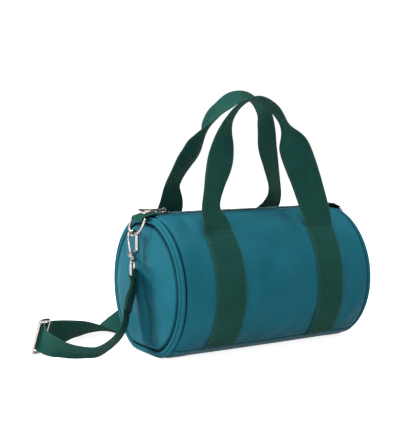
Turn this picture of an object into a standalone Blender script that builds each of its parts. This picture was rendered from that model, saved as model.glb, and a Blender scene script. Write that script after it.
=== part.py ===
"""Small barrel bag in satin nylon: piped ends, top zip, two webbing handles and a shoulder strap.

Units are metres, +Z is up. The bag lies along X with its front at -Y, and the origin is the
middle of its base, on the surface that it stands on. Run in Blender 4.5.
"""

from math import acos, asin, atan2, ceil, cos, hypot, pi, radians, sin, tau

import bmesh
import bpy
from mathutils import Matrix, Vector

MM = 0.001

# Fits
SEAM_GAP = 0.3 * MM        # left between pieces that touch
LOOSE_GAP = 0.4 * MM       # left between pieces that turn on each other

# Barrel
RING_SPAN = 259 * MM       # between the middles of the two piping cords
END_HALF_WIDTH = 84 * MM
HALF_HEIGHT = 83.8 * MM
SIDE_SWELL = 4.8 * MM      # how far the sides stand out further at mid length
FLAT_DROP = 6.6 * MM       # how much of the round section the flat base takes off
PANEL_THICKNESS = 1.6 * MM
CORD_RADIUS = 2.3 * MM
CORD_DIP = 1.5 * MM        # how far the tab presses the piping down
END_CROWN = 7.0 * MM
BASE_SEAM_TURN = 0.689     # angle of the base seam, from straight down
LINING_THICKNESS = 0.6 * MM
LINING_GAP = 0.9 * MM      # the lining hangs a little clear of the panels
BOARD_THICKNESS = 1.8 * MM
BOARD_END_ROOM = 6 * MM
BOARD_CORNER = 8 * MM
ZIP_SEAM_ROOM = 0.2 * MM    # a little more room where a panel is sewn to the zip

# Zip
TOOTH_ROW_WIDTH = 2.4 * MM
TOOTH_HEIGHT = 2.2 * MM
TOOTH_PITCH = 4.0 * MM
TOOTH_DEPTH = 0.8 * MM
TEETH_RISE = 0.8 * MM       # how far the teeth stand above the barrel's top
TAPE_WIDTH = 8.0 * MM
TAPE_THICKNESS = 1.0 * MM
ZIP_END_ROOM = 4.0 * MM     # from the outer ends of the two rows to the tabs over them
STOP_LENGTH = 2.2 * MM

# Zip slider and its pull
SLIDER_REST_ROOM = 5.5 * MM # from the ends of the rows to the slider's middle, at rest
SLIDER_LENGTH = 9.0 * MM
SLIDER_WIDTH = 7.6 * MM
SLIDER_NOSE_WIDTH = 7.2 * MM
SLIDER_TOP_THICKNESS = 1.2 * MM
SLIDER_BEVEL = 0.4 * MM
FLANGE_THICKNESS = 0.7 * MM
FLANGE_DEPTH = 0.8 * MM
CROWN_WIDTH = 1.7 * MM
CROWN_THICKNESS = 0.8 * MM
CROWN_AXIS_HEIGHT = 2.5 * MM
CROWN_SINK = 0.3 * MM       # the crown's feet are set into the plate by this
PULL_THICKNESS = 1.6 * MM
PULL_BAR = 1.2 * MM
PULL_EYE_LENGTH = 2.4 * MM
PULL_NECK_WIDTH = 4.5 * MM
PULL_NECK_LENGTH = 13 * MM
PULL_FRAME_LENGTH = 18 * MM
PULL_END_WIDTH = 16 * MM
PULL_SHOULDER_WIDTH = 6 * MM
PULL_SIDE_BAR = 2.3 * MM
PULL_END_BAR = 4 * MM
PULL_HOLE_RADIUS = 0.6 * MM
PULL_CORNER = 0.5 * MM
PULL_SHOULDER_LENGTH = 1.5 * MM
PULL_END_CORNER = 1.4 * MM
PULL_DROP = radians(3.5)
PULL_ROLL = radians(14)

# Webbing
WEBBING_THICKNESS = 1.4 * MM
HANDLE_WIDTH = 38 * MM
HANDLE_CENTRE_X = 71.7 * MM
HANDLE_STITCH_TURN = 2.44   # angle of the handles' top stitching, from straight down
HANDLE_FOOT_TURN = 0.715
HANDLE_RISE = 6 * MM        # how far a handle stands straight up from its stitching, twice over
HANDLE_RISE_LEAN = 1.2 * MM
HANDLE_FOLD_ROOM = 0.8 * MM # between a handle's foot and its tail, so that it folds down
STRAP_WIDTH = 32 * MM
STRAP_FOLD_THICKNESS = 3.1 * MM   # two layers of strap webbing
TAB_WIDTH = 25 * MM
TAB_THICKNESS = 1.2 * MM
TAB_REACH = 12 * MM         # how far a tab runs in over the barrel from the piping
TAB_TAIL_GAP = 1.4 * MM     # from the piping to the end that comes back under the D-ring's bar
HANDLE_STEP = 7 * MM        # longest stretch between two sections of a handle
STRAP_STEP = 8 * MM

# D-rings
RING_WIRE_RADIUS = 1.6 * MM
RING_BAR_OUT = 11.5 * MM    # bar beyond the piping cord's middle
RING_BAR_DROP = 4.5 * MM    # bar below the top of the barrel
RING_HALF_WIDTH = 15 * MM
RING_DEPTH = 19.6 * MM
RING_LEAN = radians(24)
RING_ROUNDNESS = 2.4
RING_CORNER = 1.3 * MM

# Swivel hooks
HOOK_WIRE_RADIUS = 2.0 * MM
HOOK_HALF_WIDTH = 5.5 * MM
HOOK_SPINE_LENGTH = 15.5 * MM
HOOK_TURN_LENGTH = 7 * MM
HOOK_FOOT_SWELL = 0.5 * MM  # the bar gets thicker by this as it nears the collar
COLLAR_RADIUS = 3.0 * MM
COLLAR_HEIGHT = 2.6 * MM
COLLAR_BEVEL = 0.4 * MM
STEP_HEIGHT = 0.05 * MM     # a square shoulder between two radii
STEM_RADIUS = 1.0 * MM
STEM_HEAD_RADIUS = 1.9 * MM
STEM_HEAD_HEIGHT = 1.2 * MM
BOSS_RADIUS = 3.0 * MM
BOSS_HEIGHT = 3.6 * MM
GATE_RADIUS = 1.35 * MM
GATE_KNUCKLE_RADIUS = 1.9 * MM
GATE_KNUCKLE_WIDTH = 2.2 * MM
GATE_PIVOT_RADIUS = 0.6 * MM
GATE_PIVOT_OUT = 2.4 * MM
GATE_PIVOT_RISE = 2.6 * MM
GATE_TIP_GAP = 1.0 * MM
GATE_SLIMNESS = 0.1 * MM    # the gate's foot is slimmer than its knuckle, on each side
LUG_WIDTH = 5.2 * MM
LUG_SET_BACK = 1.0 * MM     # from the gate's pivot in to the place that the lug is drawn from
PIN_GRIP = 0.5 * MM         # how far the gate's pin goes into the lug on each side
EYE_WIRE_RADIUS = 1.5 * MM
EYE_INNER_WIDTH = 33.5 * MM
EYE_PITCH = 14.4 * MM       # between the middles of the eye's two long bars
EYE_CORNER = 2.5 * MM
EYE_TURN = radians(34.4)    # the eye's width, turned from Y toward the bag
STRAP_END_DROP = 5.5 * MM
STRAP_FOLD_LEG = 1 * MM     # straight webbing below the fold over the eye
STRAP_HANG = 4 * MM         # how far the strap hangs straight below its folded end

# Strap slider
GLIDE_LENGTH = 41.6 * MM
GLIDE_BAR_PITCH = 6.5 * MM
GLIDE_BAR = 2.0 * MM
GLIDE_END_BAR = 3.0 * MM
GLIDE_CORNER = 1.6 * MM
GLIDE_BACK_GAP = 0.5 * MM   # from the slider's back to the webbing
GLIDE_SLOT_SHIFT = 0.25 * MM
GLIDE_BEND = 1.5 * MM       # radius of the webbing's bend round the middle bar
GLIDE_LEAD = 5 * MM         # straight webbing before the slot
GLIDE_CENTRE = Vector((-236.8, 59.2, 21.8)) * MM
GLIDE_LONG = Vector((0.182, -0.256, 0.950))
GLIDE_SHORT = Vector((0.928, 0.352, -0.083))

# Routes of the soft pieces, chosen by hand. Handles: place of the webbing's middle in mm, then
# the way its outer edge points: its heading in plan and how far it leans up, in degrees.
FRONT_HANDLE_ROUTE = (
    (-77, -52, 165, 200, 0), (-74, -48, 181, 209, 0), (-66, -42, 200, 201, 0),
    (-55, -36, 222, 190, 3), (-47, -31, 243, 202, 9), (-38, -27, 261, 221, 12),
    (-23, -24, 279, 241, 12), (-3, -23, 292, 264, 8), (21, -24, 286, 267, 0),
    (39, -26, 273, 258, -5), (46, -29, 260, 252, -5), (48, -32, 247, 268, 0),
    (53, -36, 233, 318, 2), (61, -43, 202, 336, 2), (67, -50, 172, 345, 0),
)
BACK_HANDLE_ROUTE = (
    (-68, 53, 165, 188, 0), (-69, 50, 186, 212, 0), (-64, 47, 200, 214, 0),
    (-55, 44, 212, 204, 0), (-45, 37, 235, 198, 5), (-39, 33, 249, 210, 8),
    (-33, 29, 263, 238, -8), (-17, 26, 279, 260, -17), (11, 22, 295, 268, -16),
    (31, 22, 293, 240, -24), (42, 23, 282, 218, -30), (48, 25, 271, 222, -36),
    (53, 28, 262, 246, -36), (57, 31, 251, 305, -16), (62, 35, 237, 362, -2),
    (71, 40, 217, 377, 0), (83, 48, 189, 386, 0), (83, 52, 169, 372, 0),
)

# Strap: place of the webbing's middle in mm, then the direction of one edge.
FRONT_STRAP_ROUTE = (
    (-150, 2, 73, 0.71, 0.69, -0.15), (-154, 2, 58, 0.70, 0.66, -0.28),
    (-159, -1, 42, 0.58, 0.70, -0.42), (-168, -5, 29, 0.45, 0.73, -0.52),
    (-181, -5, 18, 0.38, 0.76, -0.53), (-196, -3, 11, 0.38, 0.75, -0.55),
    (-210, 4, 11, 0.40, 0.70, -0.60), (-223, 15, 12.6, 0.40, 0.57, -0.72),
    (-233, 28, 16, 0.28, 0.40, -0.87), (-237, 42, 18, 0.06, 0.34, -0.94),
)
BACK_STRAP_ROUTE = (
    (-217, 79, 19, 0.16, -0.20, 0.97),
    (-201, 90, 17, 0.24, -0.32, 0.92), (-188, 103, 17, 0.08, -0.13, 0.99),
    (-176, 119, 17, -0.24, 0.25, 0.94), (-162, 132, 14, -0.26, 0.72, 0.64),
    (-144, 138, 9, -0.08, 0.96, 0.25), (-125, 137, 7, 0.25, 0.97, -0.04),
    (-108, 130, 11, 0.51, 0.73, -0.46), (-91, 122, 17, 0.40, 0.30, -0.86),
    (-60, 119, 17, 0.10, 0.10, -0.99), (-10, 124, 16.6, 0.0, 0.05, -1.0),
    (50, 124, 16.6, 0.0, 0.03, -1.0), (105, 112, 16.6, 0.0, 0.0, -1.0),
    (136, 93, 16.6, 0.0, 0.0, -1.0), (154, 75, 17, 0.0, -0.08, -0.99),
    (166, 57, 19, 0.05, -0.20, -0.98), (171, 41, 25, 0.12, -0.45, -0.88),
    (171, 27, 34, 0.25, -0.68, -0.68), (166, 15, 45, 0.40, -0.78, -0.48),
    (158, 8, 58, 0.50, -0.80, -0.30), (151, 3, 73, 0.56, -0.82, -0.14),
)

# Worked out from the sizes above
CENTRE_HEIGHT = HALF_HEIGHT - FLAT_DROP
RING_X = RING_SPAN / 2
PANEL_END = RING_X - CORD_RADIUS - SEAM_GAP
TEETH_INNER = SEAM_GAP / 2
TAPE_INNER = TEETH_INNER + TOOTH_ROW_WIDTH + SEAM_GAP
TAPE_OUTER = TAPE_INNER + TAPE_WIDTH
ZIP_EDGE = TAPE_OUTER + SEAM_GAP
TOP = CENTRE_HEIGHT + HALF_HEIGHT
TEETH_TOP = TOP + TEETH_RISE
ZIP_LENGTH = 2 * (RING_X - TAB_REACH - ZIP_END_ROOM)
SLIDER_REST_X = SLIDER_REST_ROOM - ZIP_LENGTH / 2
SLIDER_UNDER = TEETH_TOP + SEAM_GAP
CROWN_AXIS = Vector((SLIDER_REST_X, 0, SLIDER_UNDER + SLIDER_TOP_THICKNESS + CROWN_AXIS_HEIGHT))
RING_BAR_X = RING_X + RING_BAR_OUT
RING_BAR_HEIGHT = TOP - RING_BAR_DROP
RING_DOWN = Vector((sin(RING_LEAN), 0, -cos(RING_LEAN)))
RING_FOOT = Vector((RING_BAR_X, 0, RING_BAR_HEIGHT)) + RING_DEPTH * RING_DOWN
HOOK_X = RING_FOOT.x
HOOK_ARC_Z = RING_FOOT.z + RING_WIRE_RADIUS + SEAM_GAP + HOOK_WIRE_RADIUS - HOOK_HALF_WIDTH
COLLAR_BOTTOM = HOOK_ARC_Z - HOOK_SPINE_LENGTH - HOOK_TURN_LENGTH - COLLAR_HEIGHT
COLLAR_TOP = COLLAR_BOTTOM + COLLAR_HEIGHT
BOSS_TOP = COLLAR_BOTTOM - SEAM_GAP
BOSS_BOTTOM = BOSS_TOP - BOSS_HEIGHT
EYE_TOP_Z = (BOSS_TOP + BOSS_BOTTOM) / 2
EYE_BOTTOM_Z = EYE_TOP_Z - EYE_PITCH
STRAP_END_Z = EYE_BOTTOM_Z - STRAP_END_DROP
STRAP_START_Z = STRAP_END_Z - SEAM_GAP
GATE_PIVOT_X = HOOK_X + GATE_PIVOT_OUT
GATE_PIVOT_Z = COLLAR_TOP + GATE_PIVOT_RISE

# Finishes: base colour, roughness, metallic
SATIN = ((0.036, 0.175, 0.225, 1), 0.45, 0.0)
SATIN_DARK = ((0.020, 0.110, 0.145, 1), 0.5, 0.0)
WEBBING = ((0.028, 0.105, 0.085, 1), 0.8, 0.0)
LINING = ((0.015, 0.060, 0.075, 1), 0.7, 0.0)
ZIP_NYLON = ((0.010, 0.075, 0.095, 1), 0.55, 0.0)
BOARD = ((0.02, 0.02, 0.02, 1), 0.7, 0.0)
NICKEL = ((0.78, 0.76, 0.74, 1), 0.18, 1.0)


def clear_scene():
    for item in list(bpy.data.objects):
        bpy.data.objects.remove(item)


def make_material(name, finish):
    colour, roughness, metallic = finish
    material = bpy.data.materials.new(name)
    material.use_nodes = True
    shader = material.node_tree.nodes["Principled BSDF"]
    shader.inputs["Base Color"].default_value = colour
    shader.inputs["Roughness"].default_value = roughness
    shader.inputs["Metallic"].default_value = metallic
    return material


def make_object(name, points, faces, finish, origin=(0, 0, 0), smooth=False):
    """A closed body from points in world space, with its origin at a chosen place."""
    origin = Vector(origin)
    mesh = bpy.data.meshes.new(name)
    mesh.from_pydata([Vector(point) - origin for point in points], [], faces)
    body = bmesh.new()
    body.from_mesh(mesh)
    bmesh.ops.recalc_face_normals(body, faces=body.faces)
    body.to_mesh(mesh)
    body.free()
    if smooth:
        mesh.shade_smooth()
        mesh.set_sharp_from_angle(angle=radians(40))
    made = bpy.data.objects.new(name, mesh)
    made.location = origin
    made.data.materials.append(make_material(name, finish))
    bpy.context.scene.collection.objects.link(made)
    return made


def loft_faces(sections, sides, loop):
    """Faces that join equal sections one after another, capped unless they close in a loop."""
    faces = []
    for row in range(sections if loop else sections - 1):
        here = row * sides
        after = (row + 1) % sections * sides
        for side in range(sides):
            next_side = (side + 1) % sides
            faces.append((here + side, here + next_side, after + next_side, after + side))
    if not loop:
        faces.append(tuple(range(sides)))
        faces.append(tuple(range((sections - 1) * sides, sections * sides)))
    return faces


def loft(name, sections, finish, loop=False, **options):
    points = [point for section in sections for point in section]
    faces = loft_faces(len(sections), len(sections[0]), loop)
    return make_object(name, points, faces, finish, **options)


def make_tool(made):
    """Keep an object only as the operand of a Boolean."""
    made.hide_render = True
    made.display_type = "WIRE"
    return made


def cut(made, tool, operation="DIFFERENCE"):
    step = made.modifiers.new(operation.title() + " " + tool.name, "BOOLEAN")
    step.operation = operation
    step.object = make_tool(tool)


def prism(name, outline, low, high, finish, place=None, **options):
    """An outline in x, y drawn from low to high in z, then set in place."""
    place = place or Matrix.Identity(4)
    rows = [[place @ Vector((x, y, z)) for x, y in outline] for z in (low, high)]
    return loft(name, rows, finish, **options)


def cylinder(name, centre, axis, radius, length, sides, finish):
    """A round bar centred on a point."""
    axis = Vector(axis).normalized()
    across = axis.orthogonal().normalized()
    other = axis.cross(across)
    rows = []
    for end in (-length / 2, length / 2):
        ring = [Vector(centre) + axis * end
                + radius * (cos(tau * k / sides) * across + sin(tau * k / sides) * other)
                for k in range(sides)]
        rows.append(ring)
    return loft(name, rows, finish, smooth=True)


def tangents(path, loop=False):
    count = len(path)
    found = []
    for k in range(count):
        before = path[(k - 1) % count] if loop or k > 0 else path[k]
        after = path[(k + 1) % count] if loop or k < count - 1 else path[k]
        found.append((after - before).normalized())
    return found


def tube(name, path, radii, flat_normal, sides, finish, loop=False, **options):
    """A round wire along a path that lies in one plane."""
    flat_normal = Vector(flat_normal).normalized()
    sections = []
    for point, radius, along in zip(path, radii, tangents(path, loop)):
        outward = along.cross(flat_normal).normalized()
        sections.append([point + radius * (cos(tau * (k + 0.5) / sides) * outward
                                           + sin(tau * (k + 0.5) / sides) * flat_normal)
                         for k in range(sides)])
    return loft(name, sections, finish, loop, smooth=True, **options)


def smooth_samples(stations, step):
    """Points read from one smooth curve through stations of any number of values."""
    knots = [0.0]
    for before, after in zip(stations, stations[1:]):
        knots.append(knots[-1] + max((Vector(after[:3]) - Vector(before[:3])).length, 1e-6))
    count = len(stations)
    slopes = []
    for k in range(count):
        low, high = max(k - 1, 0), min(k + 1, count - 1)
        slopes.append([(b - a) / (knots[high] - knots[low])
                       for a, b in zip(stations[low], stations[high])])
    samples = []
    for k in range(count - 1):
        span = knots[k + 1] - knots[k]
        pieces = max(1, ceil(span / step))
        for piece in range(pieces):
            t = piece / pieces
            rise = t * t * (3 - 2 * t)
            leave = t * (1 - t) * (1 - t) * span
            arrive = t * t * (t - 1) * span
            samples.append([a + (b - a) * rise + leave * p + arrive * q for a, b, p, q
                            in zip(stations[k], stations[k + 1], slopes[k], slopes[k + 1])])
    samples.append(list(stations[-1]))
    return samples


def webbing(name, path, edges, width, thicknesses, finish, **options):
    """Flat webbing along a path; each edge vector points to the same edge all the way."""
    sections = []
    for point, edge, thick, along in zip(path, edges, thicknesses, tangents(path)):
        across = (edge - along * edge.dot(along)).normalized()
        face = along.cross(across)
        sections.append([point + across * width / 2 * a + face * thick / 2 * b
                         for a, b in ((-1, -1), (1, -1), (1, 1), (-1, 1))])
    return loft(name, sections, finish, **options)


def side_swell(x):
    return SIDE_SWELL * (1 - (x / RING_X) ** 2)


def wall(x, turn, inset=0.0):
    """A point on the barrel: turn runs from straight down, below zero on the front."""
    half_width = END_HALF_WIDTH + side_swell(x) - inset
    half_height = HALF_HEIGHT - inset
    height = CENTRE_HEIGHT - half_height * cos(turn)
    return Vector((x, half_width * sin(turn), max(height, inset)))


def spread(low, high, count):
    return [low + (high - low) * k / (count - 1) for k in range(count)]


def wall_patch(name, start, end, turns, inner, outer, finish, rows, **options):
    """A slab of the barrel's wall from x = start to end, over a range of turns."""
    sections = []
    for x in spread(start, end, rows):
        outside = [wall(x, turn, outer) for turn in turns]
        inside = [wall(x, turn, inner) for turn in reversed(turns)]
        sections.append(outside + inside)
    return loft(name, sections, finish, smooth=True, **options)


def turn_at(across):
    """The turn, near the top, of a place this far from the middle of the zip."""
    return pi - asin(across / END_HALF_WIDTH)


def make_panels():
    seam_gap_turn = SEAM_GAP / END_HALF_WIDTH
    side_turns = spread(BASE_SEAM_TURN + seam_gap_turn, turn_at(ZIP_EDGE + ZIP_SEAM_ROOM), 15)
    base_turns = spread(-BASE_SEAM_TURN, BASE_SEAM_TURN, 13)
    rows = 11
    span = (-PANEL_END, PANEL_END)
    wall_patch("front_panel", *span, [-turn for turn in side_turns], PANEL_THICKNESS, 0, SATIN, rows)
    wall_patch("back_panel", *span, side_turns, PANEL_THICKNESS, 0, SATIN, rows)
    wall_patch("base_panel", *span, base_turns, PANEL_THICKNESS, 0, SATIN_DARK, rows)


def make_piping(name, side):
    """The cord sewn into the seam round one end."""
    path = []
    for k in range(36):
        point = wall(0, tau * k / 36, CORD_RADIUS)
        path.append(Vector((side * RING_X, point.y * (END_HALF_WIDTH - CORD_RADIUS)
                            / (END_HALF_WIDTH + SIDE_SWELL - CORD_RADIUS),
                            min(point.z, TOP - CORD_DIP - CORD_RADIUS))))
    radii = [CORD_RADIUS] * len(path)
    tube(name, path, radii, (1, 0, 0), 6, SATIN, loop=True)


def make_end_panel(name, side):
    """A crowned disc inside the piping, sewn to it all round."""
    rim_inset = 2 * CORD_RADIUS + SEAM_GAP
    sides = 36
    shares = (1.0, 0.86, 0.62, 0.32)
    points = []
    for inset in (0, PANEL_THICKNESS):
        for share in shares:
            bow = END_CROWN * (1 - share ** 2.4) - inset
            for k in range(sides):
                point = wall(RING_X, tau * k / sides, rim_inset)
                height = CENTRE_HEIGHT + (point.z - CENTRE_HEIGHT) * share
                height = min(height, TOP - CORD_DIP - rim_inset)
                points.append((side * (RING_X + bow), point.y * share, height))
        points.append((side * (RING_X + END_CROWN - inset), 0, CENTRE_HEIGHT))
    per_face = len(shares) * sides + 1
    faces = []
    for face in range(2):
        base = face * per_face
        for ring in range(len(shares) - 1):
            for k in range(sides):
                here = base + ring * sides + k
                after = base + ring * sides + (k + 1) % sides
                faces.append((here, after, after + sides, here + sides))
        last = base + (len(shares) - 1) * sides
        for k in range(sides):
            faces.append((last + k, last + (k + 1) % sides, base + per_face - 1))
    for k in range(sides):
        after = (k + 1) % sides
        faces.append((k, after, per_face + after, per_face + k))
    make_object(name, points, faces, SATIN, smooth=True)


def make_lining():
    """A thin inner skin, closed at both ends and slit open along the zip."""
    inset = PANEL_THICKNESS + LINING_GAP
    turns = [tau * k / 32 for k in range(32)]

    def filled(name, end, depth):
        rows = [[wall(x, turn, depth) for turn in turns] for x in spread(-end, end, 7)]
        return loft(name, rows, LINING, smooth=True)

    end = PANEL_END - SEAM_GAP
    lining = filled("lining", end, inset)
    hollow = filled("lining_hollow", end - LINING_THICKNESS, inset + LINING_THICKNESS)
    slit_end = ZIP_LENGTH / 2
    slit = [(-slit_end, -ZIP_EDGE), (slit_end, -ZIP_EDGE), (slit_end, ZIP_EDGE), (-slit_end, ZIP_EDGE)]
    cut(lining, hollow)
    cut(lining, prism("lining_slit", slit, CENTRE_HEIGHT, TOP + CORD_RADIUS, LINING))


def make_base_board():
    """A flat stiffener that lies in the bottom of the lining."""
    low = PANEL_THICKNESS + LINING_GAP + LINING_THICKNESS + SEAM_GAP
    drop = acos((CENTRE_HEIGHT - low) / (HALF_HEIGHT - low))
    half_width = (END_HALF_WIDTH - low) * sin(drop) - SEAM_GAP
    half_length = PANEL_END - BOARD_END_ROOM
    outline = rounded_rectangle(half_length, half_width, BOARD_CORNER, 4)
    prism("base_board", outline, low, low + BOARD_THICKNESS, BOARD)


def rounded_rectangle(half_x, half_y, corner, steps):
    outline = []
    for number, (sx, sy) in enumerate(((1, 1), (-1, 1), (-1, -1), (1, -1))):
        for k in range(steps + 1):
            angle = pi / 2 * (number + k / steps)
            outline.append((sx * (half_x - corner) + corner * cos(angle),
                            sy * (half_y - corner) + corner * sin(angle)))
    return outline


def make_zip():
    end = ZIP_LENGTH / 2
    for name, side in (("front", -1), ("back", 1)):
        rows = []
        for x in (-PANEL_END, PANEL_END):
            top_in, top_out = (wall(x, turn_at(y)).z for y in (TAPE_INNER, TAPE_OUTER))
            rows.append([(x, side * TAPE_INNER, top_in), (x, side * TAPE_OUTER, top_out),
                         (x, side * TAPE_OUTER, top_out - TAPE_THICKNESS),
                         (x, side * TAPE_INNER, top_in - TAPE_THICKNESS)])
        loft("zip_tape_" + name, rows, ZIP_NYLON)
        make_teeth("zip_teeth_" + name, side, end)
    for name, side in (("zip_bottom_stop", 1), ("zip_top_stop", -1)):
        near = side * (end + SEAM_GAP)
        far = side * (end + SEAM_GAP + STOP_LENGTH)
        half = TEETH_INNER + TOOTH_ROW_WIDTH
        outline = [(near, -half), (far, -half), (far, half), (near, half)]
        prism(name, outline, TEETH_TOP - TOOTH_HEIGHT, TEETH_TOP, NICKEL)


def make_teeth(name, side, end):
    """One row of teeth, whose tips fit between the tips of the other row."""
    phase = 0 if side < 0 else TOOTH_PITCH / 2
    tip = TOOTH_PITCH / 2 - SEAM_GAP
    outer = side * (TEETH_INNER + TOOTH_ROW_WIDTH)
    root = side * (TEETH_INNER + TOOTH_DEPTH / 2)
    reach = side * (TEETH_INNER - TOOTH_DEPTH / 2)
    outline = [(-end, outer), (-end, root)]
    start = -end + TOOTH_PITCH / 2 + phase
    while start + tip < end - SEAM_GAP:
        outline += [(start, root), (start, reach), (start + tip, reach), (start + tip, root)]
        start += TOOTH_PITCH
    outline += [(end, root), (end, outer)]
    prism(name, outline, TEETH_TOP - TOOTH_HEIGHT, TEETH_TOP, ZIP_NYLON)


def make_zip_slider():
    """The slider's body: a plate with side flanges over the teeth, and the pull's crown."""
    top = SLIDER_UNDER + SLIDER_TOP_THICKNESS
    rows = []
    for share, width in ((-0.5, SLIDER_NOSE_WIDTH), (-0.2, SLIDER_WIDTH), (0.5, SLIDER_WIDTH)):
        x = SLIDER_REST_X + share * SLIDER_LENGTH
        half = width / 2
        inner = half - FLANGE_THICKNESS
        low = SLIDER_UNDER - FLANGE_DEPTH
        rows.append([(x, y, z) for y, z in (
            (-half, low), (-inner, low), (-inner, SLIDER_UNDER), (inner, SLIDER_UNDER),
            (inner, low), (half, low), (half, top - SLIDER_BEVEL), (half - SLIDER_BEVEL, top),
            (SLIDER_BEVEL - half, top), (-half, top - SLIDER_BEVEL))])
    slider = loft("zip_slider", rows, NICKEL, origin=CROWN_AXIS)
    inner = hypot(PULL_BAR, PULL_THICKNESS) / 2 + SEAM_GAP
    outer = inner + CROWN_THICKNESS
    foot = -CROWN_AXIS_HEIGHT - CROWN_SINK
    profile = [(outer, foot)]
    profile += [(outer * cos(pi * k / 10), outer * sin(pi * k / 10)) for k in range(11)]
    profile += [(-outer, foot), (-inner, foot)]
    profile += [(-inner * cos(pi * k / 10), inner * sin(pi * k / 10)) for k in range(11)]
    profile += [(inner, foot)]
    rows = [[CROWN_AXIS + Vector((x, y, z)) for x, z in profile]
            for y in (-CROWN_WIDTH / 2, CROWN_WIDTH / 2)]
    cut(slider, loft("zip_crown", rows, NICKEL), "UNION")


def make_zip_pull():
    """A flat pull with a trapezoid window, hung by its end bar under the slider's crown."""
    place = (Matrix.Translation(CROWN_AXIS) @ Matrix.Rotation(-PULL_DROP, 4, "Y")
             @ Matrix.Rotation(PULL_ROLL, 4, "X"))
    neck = PULL_NECK_WIDTH / 2
    shoulder = PULL_SHOULDER_WIDTH / 2
    end = PULL_END_WIDTH / 2
    neck_x = PULL_BAR / 2 - PULL_NECK_LENGTH
    end_x = neck_x - PULL_FRAME_LENGTH
    half_side = [(PULL_BAR / 2, neck - PULL_CORNER), (PULL_BAR / 2 - PULL_CORNER, neck),
                 (neck_x + PULL_SHOULDER_LENGTH, neck), (neck_x, shoulder),
                 (end_x + PULL_END_CORNER, end), (end_x, end - PULL_END_CORNER)]
    outline = half_side + [(x, -y) for x, y in reversed(half_side)]
    half = PULL_THICKNESS / 2
    pull = prism("zip_pull", outline, -half, half, NICKEL, place, origin=CROWN_AXIS)
    eye = CROWN_WIDTH / 2 + LOOSE_GAP
    eye_near = -PULL_BAR / 2
    eye_far = eye_near - PULL_EYE_LENGTH
    window_near = neck_x - PULL_SIDE_BAR
    window_far = end_x + PULL_END_BAR
    slope = (end - shoulder) / PULL_FRAME_LENGTH
    window_half = [(window_near, shoulder + slope * (neck_x - window_near) - PULL_SIDE_BAR),
                   (window_far, shoulder + slope * (neck_x - window_far) - PULL_SIDE_BAR)]
    holes = {
        "pull_eye": [(eye_near, -eye), (eye_near, eye), (eye_far, eye), (eye_far, -eye)],
        "pull_window": window_half + [(x, -y) for x, y in reversed(window_half)],
        "pull_hole": [(end_x + PULL_END_BAR / 2 + PULL_HOLE_RADIUS * cos(tau * k / 8),
                       PULL_HOLE_RADIUS * sin(tau * k / 8)) for k in range(8)],
    }
    for name, hole in holes.items():
        cut(pull, prism(name, hole, -2 * half, 2 * half, NICKEL, place))


def make_handle_tail(name, side, along):
    """The part of a handle's webbing that is sewn flat to a panel, down to the base seam."""
    near, far = HANDLE_CENTRE_X - HANDLE_WIDTH / 2, HANDLE_CENTRE_X + HANDLE_WIDTH / 2
    skew = side_swell(near) - side_swell(far)
    stitch_gap = (WEBBING_THICKNESS / 2 + HANDLE_FOLD_ROOM + skew) / END_HALF_WIDTH
    turns = [side * turn for turn in spread(HANDLE_FOOT_TURN, HANDLE_STITCH_TURN - stitch_gap, 16)]
    centre = along * HANDLE_CENTRE_X
    wall_patch(name, centre - HANDLE_WIDTH / 2, centre + HANDLE_WIDTH / 2, turns,
               -SEAM_GAP, -SEAM_GAP - WEBBING_THICKNESS, WEBBING, 4)


def handle_root(side):
    """Where a handle leaves the panel: y and z of the middle of its thickness."""
    clear = SEAM_GAP + WEBBING_THICKNESS / 2
    point = wall(HANDLE_CENTRE_X - HANDLE_WIDTH / 2, side * HANDLE_STITCH_TURN, -clear)
    return point.y, point.z


def make_handle(name, side, route):
    root_y, root_z = handle_root(side)
    foot = [(root_y - side * HANDLE_RISE_LEAN * step, root_z + HANDLE_RISE * step) for step in range(3)]
    stations = [(-HANDLE_CENTRE_X, y, z, 180, 0) for y, z in foot]
    stations += [(x * MM, y * MM, z * MM, heading, lean) for x, y, z, heading, lean in route]
    stations += [(HANDLE_CENTRE_X, y, z, 360, 0) for y, z in reversed(foot)]
    scaled = [(x, y, z, radians(heading), radians(lean)) for x, y, z, heading, lean in stations]
    samples = smooth_samples(scaled, HANDLE_STEP)
    path = [Vector(sample[:3]) for sample in samples]
    edges = [Vector((cos(heading) * cos(lean), sin(heading) * cos(lean), sin(lean)))
             for *_, heading, lean in samples]
    webbing(name, path, edges, HANDLE_WIDTH, [WEBBING_THICKNESS] * len(path), WEBBING,
            origin=(0, root_y, root_z))


def make_tab(name, side):
    """A short loop of webbing sewn down over the zip's end and folded round the D-ring's bar."""
    fold = RING_WIRE_RADIUS + SEAM_GAP + TAB_THICKNESS / 2
    over = TOP + SEAM_GAP + TAB_THICKNESS / 2
    path = [(RING_X - TAB_REACH, over), (PANEL_END, over), (RING_X, over - CORD_DIP),
            (RING_X + CORD_RADIUS, over - CORD_DIP)]
    start = atan2(1, 0.5)
    for k in range(9):
        angle = start - (start + pi / 2) * k / 8
        path.append((RING_BAR_X + fold * cos(angle), RING_BAR_HEIGHT + fold * sin(angle)))
    path.append((RING_X + CORD_RADIUS + TAB_TAIL_GAP, RING_BAR_HEIGHT - fold))
    points = [Vector((side * x, 0, z)) for x, z in path]
    edges = [Vector((0, 1, 0))] * len(points)
    webbing(name, points, edges, TAB_WIDTH, [TAB_THICKNESS] * len(points), WEBBING)


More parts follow.
